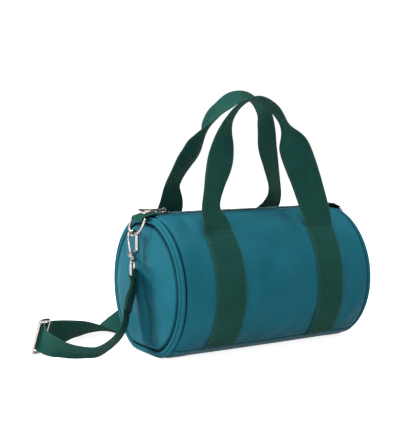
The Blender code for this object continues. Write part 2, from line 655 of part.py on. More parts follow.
def make_dring(name, side):
    """A D-shaped wire ring: a straight bar in the tab and a rounded bow below it."""
    power = 2 / RING_ROUNDNESS
    flat = []
    for k in range(25):
        angle = pi * k / 24
        flat.append((RING_HALF_WIDTH * abs(cos(angle)) ** power * (1 if angle < pi / 2 else -1),
                     RING_DEPTH * sin(angle) ** power))
    flat[0] = (RING_HALF_WIDTH - RING_CORNER, 0)
    flat[-1] = (RING_CORNER - RING_HALF_WIDTH, 0)
    bar = Vector((side * RING_BAR_X, 0, RING_BAR_HEIGHT))
    down = Vector((side * RING_DOWN.x, 0, RING_DOWN.z))
    path = [bar + Vector((0, across, 0)) + down * depth for across, depth in flat]
    normal = Vector((0, 1, 0)).cross(down)
    tube(name, path, [RING_WIRE_RADIUS] * len(path), normal, 8, NICKEL, loop=True, origin=bar)


def outward(side, out, z, y=0.0):
    """A point at a distance out from the bag's middle, on its left or right."""
    return Vector((side * out, y, z))


def make_hook(name, side):
    """A hook bent from one bar, with a collar and a riveted stem that turns in the eye."""
    flat = []
    for k in range(9):
        angle = pi * k / 8
        flat.append((HOOK_HALF_WIDTH * cos(angle), HOOK_ARC_Z + HOOK_HALF_WIDTH * sin(angle),
                     HOOK_WIRE_RADIUS))
    spine_foot = HOOK_ARC_Z - HOOK_SPINE_LENGTH
    flat.append((-HOOK_HALF_WIDTH, spine_foot, HOOK_WIRE_RADIUS))
    for k in range(1, 5):
        t = k / 5
        rise = t * t * (3 - 2 * t)
        flat.append((-HOOK_HALF_WIDTH * (1 - rise), spine_foot - HOOK_TURN_LENGTH * t,
                     HOOK_WIRE_RADIUS + HOOK_FOOT_SWELL * t))
    head_top = BOSS_BOTTOM - SEAM_GAP
    head_foot = head_top - STEM_HEAD_HEIGHT
    turned = [(COLLAR_TOP, COLLAR_RADIUS - COLLAR_BEVEL), (COLLAR_TOP - COLLAR_BEVEL, COLLAR_RADIUS),
              (COLLAR_BOTTOM, COLLAR_RADIUS), (COLLAR_BOTTOM - STEP_HEIGHT, STEM_RADIUS),
              (head_top, STEM_RADIUS), (head_top - STEP_HEIGHT, STEM_HEAD_RADIUS),
              (head_foot + COLLAR_BEVEL, STEM_HEAD_RADIUS), (head_foot, STEM_HEAD_RADIUS - COLLAR_BEVEL)]
    flat += [(0, z, radius) for z, radius in turned]
    path = [outward(side, HOOK_X + out, z) for out, z, _ in flat]
    radii = [radius for *_, radius in flat]
    hook = tube(name, path, radii, (0, 1, 0), 8, NICKEL, origin=outward(side, HOOK_X, RING_FOOT.z))
    pivot = outward(side, GATE_PIVOT_X, GATE_PIVOT_Z)
    lug = [(0.2 * MM, -3.8 * MM), (2.6 * MM, -3.2 * MM), (3.6 * MM, -1.4 * MM), (3.6 * MM, 0.6 * MM),
           (2.2 * MM, 2.0 * MM), (-0.4 * MM, 2.2 * MM), (-4.6 * MM, 1.4 * MM), (-4.6 * MM, -3.6 * MM)]
    rows = [[outward(side, GATE_PIVOT_X - LUG_SET_BACK + out, GATE_PIVOT_Z + z, y) for out, z in lug]
            for y in (-LUG_WIDTH / 2, LUG_WIDTH / 2)]
    cut(hook, loft(name + "_lug", rows, NICKEL), "UNION")
    slot = GATE_KNUCKLE_WIDTH / 2 + SEAM_GAP
    reach = GATE_KNUCKLE_RADIUS + LOOSE_GAP
    rows = [[outward(side, GATE_PIVOT_X + out, GATE_PIVOT_Z + z, y)
             for out, z in ((-reach, -reach), (2 * reach, -reach), (2 * reach, 3 * reach),
                            (-reach, 3 * reach))] for y in (-slot, slot)]
    cut(hook, loft(name + "_slot", rows, NICKEL))
    pin_length = 2 * (slot + PIN_GRIP)
    pin = cylinder(name + "_gate_pin", pivot, (0, 1, 0), GATE_PIVOT_RADIUS, pin_length, 10, NICKEL)
    cut(hook, pin, "UNION")


def make_gate(name, side):
    """The sprung gate: it closes the hook's mouth and turns on a pin at its foot."""
    pivot = outward(side, GATE_PIVOT_X, GATE_PIVOT_Z)
    tip = outward(side, HOOK_X + HOOK_HALF_WIDTH, HOOK_ARC_Z - GATE_TIP_GAP)
    foot_radius = GATE_KNUCKLE_WIDTH / 2 - GATE_SLIMNESS
    path = [pivot, pivot.lerp(tip, 0.15), pivot.lerp(tip, 0.9), tip]
    radii = [foot_radius, foot_radius, GATE_RADIUS, GATE_RADIUS]
    gate = tube(name, path, radii, (0, 1, 0), 8, NICKEL, origin=pivot)
    cut(gate, cylinder(name + "_knuckle", pivot, (0, 1, 0), GATE_KNUCKLE_RADIUS, GATE_KNUCKLE_WIDTH,
                       12, NICKEL), "UNION")
    cut(gate, cylinder(name + "_bore", pivot, (0, 1, 0), GATE_PIVOT_RADIUS + SEAM_GAP,
                       2 * GATE_KNUCKLE_WIDTH, 12, NICKEL))


def eye_axis(side):
    """The direction of the eye's long bars."""
    return Vector((-side * sin(EYE_TURN), cos(EYE_TURN), 0))


def make_eye(name, side):
    """A rectangular wire eye for the strap, with a bored boss for the hook's stem."""
    across = eye_axis(side)
    half_width = EYE_INNER_WIDTH / 2 + EYE_WIRE_RADIUS
    outline = rounded_rectangle(half_width, EYE_PITCH / 2, EYE_CORNER, 3)
    centre = outward(side, HOOK_X, (EYE_TOP_Z + EYE_BOTTOM_Z) / 2)
    path = [centre + across * a + Vector((0, 0, z)) for a, z in outline]
    normal = across.cross(Vector((0, 0, 1)))
    eye = tube(name, path, [EYE_WIRE_RADIUS] * len(path), normal, 8, NICKEL, loop=True,
               origin=outward(side, HOOK_X, EYE_TOP_Z))
    middle = outward(side, HOOK_X, EYE_TOP_Z)
    cut(eye, cylinder(name + "_boss", middle, (0, 0, 1), BOSS_RADIUS, BOSS_HEIGHT, 16, NICKEL), "UNION")
    cut(eye, cylinder(name + "_bore", middle, (0, 0, 1), STEM_RADIUS + SEAM_GAP, 2 * BOSS_HEIGHT, 12, NICKEL))


def make_strap_end(name, side):
    """The strap's webbing where it is folded over the eye's lower bar."""
    across = eye_axis(side)
    face = across.cross(Vector((0, 0, 1)))
    fold = EYE_WIRE_RADIUS + SEAM_GAP + WEBBING_THICKNESS / 2
    foot = WEBBING_THICKNESS / 2 + SEAM_GAP / 2
    leg_top = STRAP_END_Z + STRAP_FOLD_LEG
    flat = [(foot, STRAP_END_Z), (foot, leg_top)]
    flat += [(fold * cos(pi * k / 10), EYE_BOTTOM_Z + fold * sin(pi * k / 10)) for k in range(11)]
    flat += [(-foot, leg_top), (-foot, STRAP_END_Z)]
    path = [outward(side, HOOK_X, z) + face * out for out, z in flat]
    webbing(name, path, [across] * len(path), STRAP_WIDTH, [WEBBING_THICKNESS] * len(path), WEBBING)


def glide_axes():
    """The strap slider's own axes: along the strap, along its bars and out of its face."""
    short = GLIDE_SHORT.normalized()
    long = (GLIDE_LONG - short * GLIDE_LONG.dot(short)).normalized()
    return short, long, short.cross(long)


def glide_place(along, out):
    """A point at the middle of the strap slider's width."""
    short, _, face = glide_axes()
    return GLIDE_CENTRE + short * along + face * out


def make_strap_slider():
    """A rectangular slider with a middle bar, which the strap is threaded through."""
    place = Matrix(glide_axes()).transposed().to_4x4()
    place.translation = GLIDE_CENTRE
    half_short = GLIDE_BAR_PITCH + GLIDE_BAR / 2
    outline = rounded_rectangle(half_short, GLIDE_LENGTH / 2, GLIDE_CORNER, 4)
    half = GLIDE_BAR / 2
    slider = prism("strap_slider", outline, -half, half, NICKEL, place, origin=GLIDE_CENTRE)
    end = GLIDE_LENGTH / 2 - GLIDE_END_BAR
    for number, side in enumerate((-1, 1)):
        near = side * GLIDE_BAR / 2
        far = side * (GLIDE_BAR_PITCH - GLIDE_BAR / 2)
        slot = [(near, -end), (far, -end), (far, end), (near, end)]
        cut(slider, prism("slider_slot_%d" % number, slot, -2 * half, 2 * half, NICKEL, place))


def strap_through_slider():
    """The strap's middle line through the slider's first slot and round behind the middle bar."""
    back = -(GLIDE_BAR / 2 + GLIDE_BACK_GAP + WEBBING_THICKNESS / 2)
    slot = -GLIDE_BAR_PITCH / 2 + GLIDE_SLOT_SHIFT
    bend = GLIDE_BEND
    path = [glide_place(slot, GLIDE_LEAD), glide_place(slot, GLIDE_LEAD / 2), glide_place(slot, back + bend)]
    for k in range(1, 5):
        angle = pi / 2 * k / 4
        path.append(glide_place(slot + bend - bend * cos(angle), back + bend - bend * sin(angle)))
    path.append(glide_place(GLIDE_BAR_PITCH / 2, back))
    path.append(glide_place(GLIDE_BAR_PITCH + GLIDE_BAR, back))
    return path


def make_straps():
    """The two runs of the shoulder strap: from the left hook to the slider, and on to the right."""
    left = eye_axis(-1)
    long = glide_axes()[1]
    stations = [(-HOOK_X, 0, z, *left, STRAP_FOLD_THICKNESS)
                for z in (STRAP_START_Z, STRAP_START_Z - STRAP_HANG)]
    for number, (x, y, z, *edge) in enumerate(FRONT_STRAP_ROUTE):
        thick = STRAP_FOLD_THICKNESS if number < 2 else WEBBING_THICKNESS
        stations.append((x * MM, y * MM, z * MM, *edge, thick))
    for point in strap_through_slider():
        stations.append((*point, *(-long), WEBBING_THICKNESS))
    make_strap("strap_front_run", stations)

    through = strap_through_slider()
    onward = (through[-1] - through[-2]).normalized()
    stations = [(*(through[-1] + onward * step), *long, STRAP_FOLD_THICKNESS)
                for step in (SEAM_GAP, STRAP_HANG)]
    stations += [(x * MM, y * MM, z * MM, *edge, STRAP_FOLD_THICKNESS) for x, y, z, *edge in BACK_STRAP_ROUTE]
    stations += [(HOOK_X, 0, z, *(-eye_axis(1)), STRAP_FOLD_THICKNESS)
                 for z in (STRAP_START_Z - STRAP_HANG, STRAP_START_Z)]
    make_strap("strap_back_run", stations)


def make_strap(name, stations):
    samples = smooth_samples(stations, STRAP_STEP)
    path = [Vector(sample[:3]) for sample in samples]
    edges = [Vector(sample[3:6]) for sample in samples]
    webbing(name, path, edges, STRAP_WIDTH, [sample[6] for sample in samples], WEBBING)


def make_side(word, side):
    """Everything that one end of the bag has."""
    make_end_panel("end_panel_" + word, side)
    make_piping("piping_" + word, side)
    make_tab("dring_tab_" + word, side)
    make_dring(word + "_dring", side)
    make_hook(word + "_hook", side)
    make_gate(word + "_gate", side)
    make_eye(word + "_swivel_eye", side)
    make_strap_end(word + "_strap_end", side)


def main():
    clear_scene()
    make_panels()
    make_lining()
    make_base_board()
    make_zip()
    make_zip_slider()
    make_zip_pull()
    for word, side in (("left", -1), ("right", 1)):
        make_side(word, side)
        make_handle_tail("handle_tail_front_" + word, -1, side)
        make_handle_tail("handle_tail_back_" + word, 1, side)
    make_handle("front_handle", -1, FRONT_HANDLE_ROUTE)
    make_handle("back_handle", 1, BACK_HANDLE_ROUTE)
    make_strap_slider()
    make_straps()


main()
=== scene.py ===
"""The looks of a small barrel bag in teal satin nylon with green webbing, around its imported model.

Units are metres, +Z is up, and the bag lies along X with its front at -Y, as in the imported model.
"""

from math import asin, atan2, ceil, cos, exp, pi, radians, sin, sqrt, tau

import bmesh
import bpy
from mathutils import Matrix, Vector, noise


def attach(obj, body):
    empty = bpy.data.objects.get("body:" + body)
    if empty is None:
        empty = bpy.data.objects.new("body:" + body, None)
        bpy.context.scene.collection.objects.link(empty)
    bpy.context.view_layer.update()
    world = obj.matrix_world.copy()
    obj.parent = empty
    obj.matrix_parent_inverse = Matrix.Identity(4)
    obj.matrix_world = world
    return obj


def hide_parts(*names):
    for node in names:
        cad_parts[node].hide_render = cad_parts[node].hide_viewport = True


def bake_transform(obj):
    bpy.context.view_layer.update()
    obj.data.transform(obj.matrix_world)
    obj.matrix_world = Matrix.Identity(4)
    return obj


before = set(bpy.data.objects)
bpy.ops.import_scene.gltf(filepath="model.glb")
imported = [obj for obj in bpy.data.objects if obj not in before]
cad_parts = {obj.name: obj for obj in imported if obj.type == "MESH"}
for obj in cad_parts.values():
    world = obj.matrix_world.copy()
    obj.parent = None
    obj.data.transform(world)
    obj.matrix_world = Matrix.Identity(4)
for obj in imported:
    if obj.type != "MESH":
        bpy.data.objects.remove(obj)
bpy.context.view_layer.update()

MM = 0.001

# Photograph
PHOTO_HEIGHT = 448
SENSOR = 36.0
FOCAL_PIXELS = 951.9
CAMERA_AZIMUTH = radians(-32.02)
CAMERA_ELEVATION = radians(5.64)
CAMERA_DISTANCE = 1.1146
CAMERA_TARGET = Vector((-0.0592, 0.0, 0.146))

# Fits
SEAM_GAP = 0.3 * MM
LOOSE_GAP = 0.4 * MM

# Barrel
RING_X = 129.5 * MM
END_HALF_WIDTH = 84 * MM
HALF_HEIGHT = 83.8 * MM
SIDE_SWELL = 4.8 * MM
FLAT_DROP = 6.6 * MM
CENTRE_HEIGHT = HALF_HEIGHT - FLAT_DROP
TOP = CENTRE_HEIGHT + HALF_HEIGHT
BASE_ROUNDING = 3.0 * MM
BASE_SEAM_TURN = 0.689
PANEL_THICKNESS = 1.2 * MM
PANEL_END = RING_X - 2.6 * MM
PANEL_STEP = 1.7 * MM
LINING_INSET = 3.4 * MM
LINING_THICKNESS = 0.5 * MM
LINING_END_ROOM = 7.5 * MM
LINING_END_DEPTH = 5 * MM       # how far its ends pull in, over the next value
LINING_END_ROUND = 9 * MM
LINING_TOP_DROP = 8 * MM
LINING_FOLLOW = 0.8             # how much of the panels' unevenness it follows

# Piping and the seams beside it
CORD_RADIUS = 2.1 * MM
CORD_DIP = 1.5 * MM
WELT_RADIUS = 2.2 * MM
WELT_OUT = 1.1 * MM
WELT_INSET = 2.7 * MM
CORD_OUT = 3.3 * MM
CORD_INSET = 5.4 * MM
CORD_NARROWING_FRONT = 0.9 * MM
CORD_NARROWING_BACK = 9.0 * MM
TAB_PRESS_FADE = 9 * MM
PIPING_STEPS = 220
PIPING_SIDES = 16
PIPING_STEP_MM = 2.4
PIPING_UNEVENNESS = 0.035
END_RIM_OUT = 5.6 * MM
END_CROWN = 3.6 * MM
END_RIM_INSET = 7.2 * MM
END_RIM_SINK = 6.6 * MM
END_RIM_WIDTH = 3.0
# The painted shade of the end cloth beside the piping: where its middle lies and how wide it is, in
# mm in from the rim.
END_PAINTED_SHADE_MIDDLE = 2.4
END_PAINTED_SHADE_WIDTH = 1.7
END_CROWN_POWER = 2.6
END_WAVE = 1.6 * MM
END_WAVE_SIZE = (40, 34)        # across and up, in mm
END_WAVE_FADE = 20

# Zip
TEETH_INNER = 0.15 * MM
TOOTH_ROW_WIDTH = 2.4 * MM
TAPE_INNER = TEETH_INNER + TOOTH_ROW_WIDTH + SEAM_GAP
TAPE_OUTER = TAPE_INNER + 8.0 * MM
TAPE_THICKNESS = 1.0 * MM
TAPE_DROP = 0.7 * MM            # its face below the barrel's own height
TAPE_TUCK = 2 * MM              # how far it runs in under the panel
TAPE_END_ROOM = 3 * MM
TAPE_SET_BACK = 0.4 * MM        # how far its edge stands back from the teeth's
TAPE_WAVE = 0.25 * MM
TAPE_WAVE_START = 4 * MM
TAPE_WAVE_FADE = 5 * MM
TAPE_SEAM_MARGIN = 1.5 * MM
TEETH_TOP = TOP + 0.8 * MM
ZIP_LENGTH = 227 * MM
COIL_PITCH = 2.9 * MM
COIL_RADIUS = 0.95 * MM
COIL_LIFT = 0.15 * MM
COIL_OVERLAP = 0.5 * MM
STOP_BEVEL = 0.25 * MM
SLIDER_BEVEL = 0.16 * MM

# Webbing
WEBBING_THICKNESS = 1.4 * MM
HANDLE_WIDTH = 38 * MM
STRAP_WIDTH = 32 * MM
TAB_WIDTH = 25 * MM
TAB_THICKNESS = 1.2 * MM
TAB_REACH = 12 * MM
TAB_TAIL = 4.2 * MM
TAB_PUFF = 2.6 * MM
TAB_PUFF_LEFT = 0.3             # share of it on the left, where the D-ring pulls the tab down
TAB_STITCH_END = 2 * MM
TAB_STEP = 0.9 * MM
HANDLE_CENTRE_X = 71.7 * MM
HANDLE_STITCH_TURN = 2.44
HANDLE_FOOT_TURN = 0.715
HANDLE_RISE = 6 * MM
HANDLE_RISE_LEAN = 1.2 * MM
TAIL_SETTLE = 28 * MM
TAIL_STEPS = 74
TAIL_FEELERS = (-0.9, -0.45, 0, 0.45, 0.9)  # where the webbing feels the panel, across its half
HANDLE_STEP = 2.5 * MM
HANDLE_FOOT_TWIST = 0.35        # share of the route's last turn that is left at the foot
HANDLE_CURL_RISE = 40 * MM      # height over the root at which the edges have their full curl
CUP_MIDDLE = 0.33               # share of a cup by which the middle stands back
FRONT_TAIL_BOWS = (-2.0 * MM, -7.0 * MM)

# Thread
THREAD_RADIUS = 0.42 * MM
STITCH_PITCH = 3.4 * MM
STITCH_LENGTH = 2.6 * MM
EDGE_MARGIN = 2.2 * MM
TAB_STITCH_RUNS = (2.2 * MM, 8.2 * MM)
FRONT_STRAP_STITCH_RUNS = (2.5 * MM, 8 * MM)
BACK_STRAP_STITCH_RUNS = (12 * MM, 16 * MM)
SMALL_STITCH_PITCH = 2.6 * MM
SMALL_STITCH_LENGTH = 1.9 * MM
WEBBING_STITCH_LIFT = -0.05 * MM
PANEL_STITCH_LIFT = 0.08 * MM

# D-rings, hooks and eyes
RING_WIRE_RADIUS = 1.6 * MM
RING_BAR_X = RING_X + 11.5 * MM
RING_BAR_HEIGHT = 156.5 * MM
RING_HALF_WIDTH = 15 * MM
RING_DEPTH = 19.6 * MM
RING_LEAN = radians(24)
RING_ROUNDNESS = 2.4
RING_CORNER = 1.3 * MM
RING_STEPS = 72
HOOK_WIRE_RADIUS = 2.0 * MM
HOOK_HALF_WIDTH = 5.5 * MM
HOOK_SPINE_LENGTH = 15.5 * MM
HOOK_TURN_LENGTH = 7 * MM
HOOK_FOOT_SWELL = 0.5 * MM
COLLAR_RADIUS = 3.0 * MM
COLLAR_HEIGHT = 2.6 * MM
COLLAR_BEVEL = 0.4 * MM
COLLAR_GROOVE = 0.35 * MM
STEP_HEIGHT = 0.05 * MM         # a square shoulder between two radii
STEM_RADIUS = 1.0 * MM
STEM_ROOT = 1.5 * MM
STEM_HEAD_RADIUS = 1.9 * MM
STEM_HEAD_HEIGHT = 1.2 * MM
STEM_HEAD_CROWN = (0.5 * MM, 0.6 * MM)     # along it and across it
BOSS_RADIUS = 3.0 * MM
BOSS_HEIGHT = 3.6 * MM
BOSS_BEVEL = 0.4 * MM
GATE_RADIUS = 1.35 * MM
GATE_FOOT_RADIUS = 1.0 * MM
GATE_KNUCKLE_RADIUS = 1.9 * MM
GATE_KNUCKLE_WIDTH = 2.2 * MM
GATE_KNUCKLE_BEVEL = 0.3 * MM
GATE_KNUCKLE_EDGE_RADIUS = 1.6 * MM
GATE_BORE_RADIUS = 0.85 * MM
GATE_PIVOT_OUT = 2.4 * MM
GATE_PIVOT_RISE = 2.6 * MM
GATE_TIP_GAP = 1.0 * MM
LUG_WIDTH = 5.2 * MM
LUG_SET_BACK = 1.0 * MM
LUG_BEVEL = 0.45 * MM
LUG_OUTLINE = (                 # out and up from the pivot, in mm
    (0.2, -3.8), (2.6, -3.2), (3.6, -1.4), (3.6, 0.6), (2.2, 2.0), (-0.4, 2.2), (-4.6, 1.4),
    (-4.6, -3.6),
)
RIVET_PROUD = 0.45 * MM
RIVET_HEAD = 1 * MM
RIVET_CROWN = 0.35 * MM
RIVET_RADII = (0.5 * MM, 0.95 * MM, 0.6 * MM)  # of its crown, its head and its shank
EYE_WIRE_RADIUS = 1.5 * MM
EYE_INNER_WIDTH = 33.5 * MM
EYE_PITCH = 14.4 * MM
EYE_CORNER = 2.5 * MM
EYE_TURN = radians(34.4)
STRAP_END_DROP = 5.5 * MM
STRAP_HANG = 4 * MM
STRAP_LAP = 40.5 * MM
STRAP_LAP_FADE = 12 * MM
STRAP_LAYER_OFFSET = WEBBING_THICKNESS / 2 + SEAM_GAP / 2
FRONT_STRAP_STEP = 2.4 * MM
BACK_STRAP_STEP = 2.6 * MM

# Strap slider
GLIDE_BAR_PITCH = 6.5 * MM
GLIDE_BAR = 2.0 * MM
GLIDE_LENGTH = 44.5 * MM
GLIDE_CORNER = 2.4 * MM
GLIDE_WIRE_RADIUS = 1.95 * MM
GLIDE_MIDDLE_RADIUS = 1.1 * MM
GLIDE_BACK_GAP = 0.5 * MM
GLIDE_SLOT_SHIFT = 0.25 * MM
GLIDE_BEND = 1.5 * MM
GLIDE_LEAD = 5 * MM
GLIDE_CENTRE = Vector((-236.8, 59.2, 21.8)) * MM
GLIDE_LONG = Vector((0.182, -0.256, 0.950))
GLIDE_SHORT = Vector((0.928, 0.352, -0.083))

# Places worked out from the sizes above
RING_DOWN = Vector((sin(RING_LEAN), 0, -cos(RING_LEAN)))
RING_FOOT = Vector((RING_BAR_X, 0, RING_BAR_HEIGHT)) + RING_DEPTH * RING_DOWN
HOOK_X = RING_FOOT.x
HOOK_ARC_Z = RING_FOOT.z + RING_WIRE_RADIUS + SEAM_GAP + HOOK_WIRE_RADIUS - HOOK_HALF_WIDTH
COLLAR_BOTTOM = HOOK_ARC_Z - HOOK_SPINE_LENGTH - HOOK_TURN_LENGTH - COLLAR_HEIGHT
COLLAR_TOP = COLLAR_BOTTOM + COLLAR_HEIGHT
BOSS_TOP = COLLAR_BOTTOM - SEAM_GAP
BOSS_BOTTOM = BOSS_TOP - BOSS_HEIGHT
EYE_TOP_Z = (BOSS_TOP + BOSS_BOTTOM) / 2
EYE_BOTTOM_Z = EYE_TOP_Z - EYE_PITCH
STRAP_END_Z = EYE_BOTTOM_Z - STRAP_END_DROP
STRAP_START_Z = STRAP_END_Z - SEAM_GAP
GATE_PIVOT_X = HOOK_X + GATE_PIVOT_OUT
GATE_PIVOT_Z = COLLAR_TOP + GATE_PIVOT_RISE

# Routes of the webbing. Handles: place of the webbing's middle in mm, then the
# way its outer edge points: its heading in plan and how far it leans up, in degrees.
FRONT_HANDLE_ROUTE = (
    (-77, -52, 165, 203, 0), (-74, -48, 181, 209, 0), (-66, -42, 200, 201, 0),
    (-55, -36, 222, 190, 3), (-47, -31, 243, 202, 9), (-38, -27, 261, 221, 12),
    (-23, -24, 279, 241, 12), (-4, -23, 291, 264, 8), (17, -24, 286, 265, 0),
    (35, -26, 273, 255, -5), (42, -28, 263, 250, -5), (46, -31, 252, 264, -3),
    (49, -35, 239, 300, 0), (53, -39, 223, 322, 2), (60, -43, 202, 336, 2), (67, -50, 172, 345, 0),
)
BACK_HANDLE_ROUTE = (
    (-68, 53, 165, 188, 0), (-69, 50, 186, 210, 0), (-63, 47, 202, 211, 0),
    (-53, 43, 218, 202, 0), (-43.5, 38, 232, 200, 0), (-38, 34, 243, 212, -5),
    (-35, 31, 252, 228, -11), (-28, 28, 265, 249, -15), (-18, 26, 278, 256, -16),
    (7, 22, 296, 266, -16), (26, 22, 293, 242, -24), (39, 23, 282, 232, -28),
    (47, 25, 271, 205, -26), (53, 28, 262, 201, -22), (57, 31, 251, 198, -12),
    (62, 35, 237, 198, -4), (71, 40, 217, 205, 0), (82, 47, 190, 212, 0), (84, 49, 171, 206, 0),
    (80, 51, 159, 196, 0),
)

# How far the handles' edges curl, in mm, along X in mm
FRONT_HANDLE_CURLS = ((-60, 0), (-45, 2.0), (-25, -1.5), (20, -1.5), (44, 2.0), (60, 0))
BACK_HANDLE_CURLS = (
    (-66, 0), (-50, -3.0), (-37, -7.0), (-24, -4.0), (-8, -1.0), (35, -1.0), (50, -2.0), (66, 0),
)

# Strap: place of the webbing's middle in mm, then the direction of one edge.
FRONT_STRAP_ROUTE = (
    (-150, 2, 73, 0.66, 0.74, -0.15), (-154, 2, 58, 0.62, 0.74, -0.26),
    (-159, -1, 42, 0.56, 0.71, -0.42), (-168, -5, 29, 0.45, 0.73, -0.52),
    (-181, -5, 18, 0.38, 0.76, -0.53), (-196, -3, 11, 0.38, 0.75, -0.55),
    (-210, 4, 11, 0.40, 0.70, -0.60), (-223, 15, 12.6, 0.40, 0.57, -0.72),
    (-233, 28, 16, 0.28, 0.40, -0.87), (-237, 42, 18, 0.06, 0.34, -0.94),
)
BACK_STRAP_ROUTE = (
    (-217, 79, 19, 0.16, -0.20, 0.97),
    (-201, 89, 17, 0.26, -0.30, 0.92), (-183, 98, 14.5, 0.38, -0.40, 0.84),
    (-165, 109, 12, 0.47, -0.57, 0.66), (-145, 119, 8, 0.44, -0.79, 0.42),
    (-125, 126, 5, 0.25, -0.95, 0.08), (-108, 127, 9, 0.10, -0.86, -0.50),
    (-91, 122, 16, 0.05, -0.35, -0.93), (-60, 119, 17, 0.0, 0.05, -0.99),
    (-10, 124, 16.6, 0.0, 0.05, -1.0),
    (50, 124, 16.6, 0.0, 0.03, -1.0), (105, 112, 16.6, 0.0, 0.0, -1.0),
    (136, 93, 16.6, 0.0, 0.0, -1.0), (154, 75, 17, 0.0, -0.08, -0.99),
    (166, 57, 19, 0.05, -0.20, -0.98), (171, 41, 25, 0.12, -0.45, -0.88),
    (171, 27, 34, 0.25, -0.68, -0.68), (166, 15, 45, 0.40, -0.78, -0.48),
    (158, 8, 58, 0.50, -0.80, -0.30), (151, 3, 73, 0.56, -0.82, -0.14),
)

# Soft folds of the panels: x and height along the wall in mm from straight down, the way that
# the fold runs in degrees, half its length and half its width in mm, and how far it stands out.
FRONT_FOLDS = (
    (-99, 226, 82, 19, 10, -2.0), (46, 231, 60, 17, 8, -1.9), (46, 212, 80, 16, 8, -0.9),
    (-48, 143, 95, 26, 7, -1.1), (-36, 138, 88, 34, 8, 1.0), (-10, 165, 60, 34, 9, -1.0),
    (0, 136, 52, 30, 7, 0.8), (-12, 108, 55, 36, 8, -1.2), (10, 92, 50, 30, 8, 0.9),
    (26, 128, 70, 36, 10, -0.9), (40, 100, 65, 26, 8, 0.8), (-30, 85, 30, 30, 8, 0.7),
    (-106, 150, 85, 40, 9, -0.9), (-102, 100, 100, 30, 9, 0.6), (104, 140, 92, 44, 8, -1.0),
    (108, 95, 75, 26, 8, 0.7), (-5, 205, 10, 40, 12, 0.7), (20, 180, 20, 34, 10, -0.6),
)
BACK_FOLDS = (
    (-46, 229, 120, 18, 8, -1.9), (98, 228, 98, 19, 10, -1.9), (-40, 140, 80, 30, 8, -1.1),
    (-26, 120, 70, 34, 8, 0.9), (0, 160, 110, 36, 9, -1.0), (18, 112, 60, 30, 8, 0.9),
    (40, 138, 100, 34, 9, -1.0), (-8, 92, 20, 30, 8, -0.8), (-104, 140, 95, 40, 9, -0.9),
    (104, 120, 85, 40, 9, -0.9), (6, 205, 170, 40, 12, 0.7),
)


# Meshes

def make_body(name, points, faces, finish, spots=None):
    """A smooth closed body; spots are the places of its points in the finish's own pattern."""
    mesh = bpy.data.meshes.new(name)
    mesh.from_pydata(points, [], faces)
    body = bmesh.new()
    body.from_mesh(mesh)
    bmesh.ops.recalc_face_normals(body, faces=body.faces)
    body.to_mesh(mesh)
    body.free()
    if spots:
        layer = mesh.uv_layers.new(name="UVMap")
        for loop in mesh.loops:
            layer.data[loop.index].uv = spots[loop.vertex_index]
    mesh.shade_smooth()
    mesh.materials.append(finish)
    made = bpy.data.objects.new(name, mesh)
    bpy.context.scene.collection.objects.link(made)
    return made


def loft_faces(rows, sides, loop=False):
    """Faces that join equal rings one after another, capped unless they close in a loop."""
    faces = []
    for row in range(rows if loop else rows - 1):
        here = row * sides
        after = (row + 1) % rows * sides
        for side in range(sides):
            other = (side + 1) % sides
            faces.append((here + side, here + other, after + other, after + side))
    if not loop:
        faces.append(tuple(range(sides)))
        faces.append(tuple(range((rows - 1) * sides, rows * sides)))
    return faces


def loft(name, sections, finish, loop=False, spots=None):
    points = [point for section in sections for point in section]
    return make_body(name, points, loft_faces(len(sections), len(sections[0]), loop), finish, spots)


def shell(name, outer, inner, finish, spots):
    """A closed sheet between two grids of points, given as equal rows."""
    rows, columns = len(outer), len(outer[0])
    count = rows * columns
    points = [point for row in outer for point in row] + [point for row in inner for point in row]
    faces = []
    for r in range(rows - 1):
        for c in range(columns - 1):
            a = r * columns + c
            quad = (a, a + 1, a + columns + 1, a + columns)
            faces.append(quad)
            faces.append(tuple(count + k for k in reversed(quad)))
    rim = list(range(columns)) + [r * columns + columns - 1 for r in range(1, rows)]
    rim += [(rows - 1) * columns + c for c in range(columns - 2, -1, -1)]
    rim += [r * columns for r in range(rows - 2, 0, -1)]
    for here, after in zip(rim, rim[1:] + rim[:1]):
        faces.append((here, count + here, count + after, after))
    return make_body(name, points, faces, finish, spots + spots)


def tangents(path, loop=False):
    count = len(path)
    found = []
    for k in range(count):
        before = path[(k - 1) % count] if loop or k > 0 else path[k]
        after = path[(k + 1) % count] if loop or k < count - 1 else path[k]
        found.append((after - before).normalized())
    return found


def wire(name, path, radii, flat_normal, finish, sides=20, loop=False):
    """A round bar along a path that lies in one plane."""
    flat_normal = Vector(flat_normal).normalized()
    sections = []
    for point, radius, along in zip(path, radii, tangents(path, loop)):
        out = along.cross(flat_normal).normalized()
        sections.append([point + radius * (cos(tau * k / sides) * out
                                           + sin(tau * k / sides) * flat_normal)
                         for k in range(sides)])
    return loft(name, sections, finish, loop)


def turned(name, centre, axis, profile, finish, sides=24):
    """A round body: profile lists distance along the axis and radius."""
    axis = Vector(axis).normalized()
    across = axis.orthogonal().normalized()
    other = axis.cross(across)
    sections = [[Vector(centre) + axis * along
                 + radius * (cos(tau * k / sides) * across + sin(tau * k / sides) * other)
                 for k in range(sides)] for along, radius in profile]
    return loft(name, sections, finish)


def mirrored(low):
    """A whole profile from its half below the middle."""
    return low + [(-along, radius) for along, radius in reversed(low)]


def spread(low, high, count):
    return [low + (high - low) * k / (count - 1) for k in range(count)]


def ease(t):
    t = min(max(t, 0.0), 1.0)
    return t * t * (3 - 2 * t)


def along_list(stations, value):
    """A value read smoothly from a short list of (place, value)."""
    if value <= stations[0][0]:
        return stations[0][1]
    for (low, a), (high, b) in zip(stations, stations[1:]):
        if value <= high:
            return a + (b - a) * ease((value - low) / (high - low))
    return stations[-1][1]


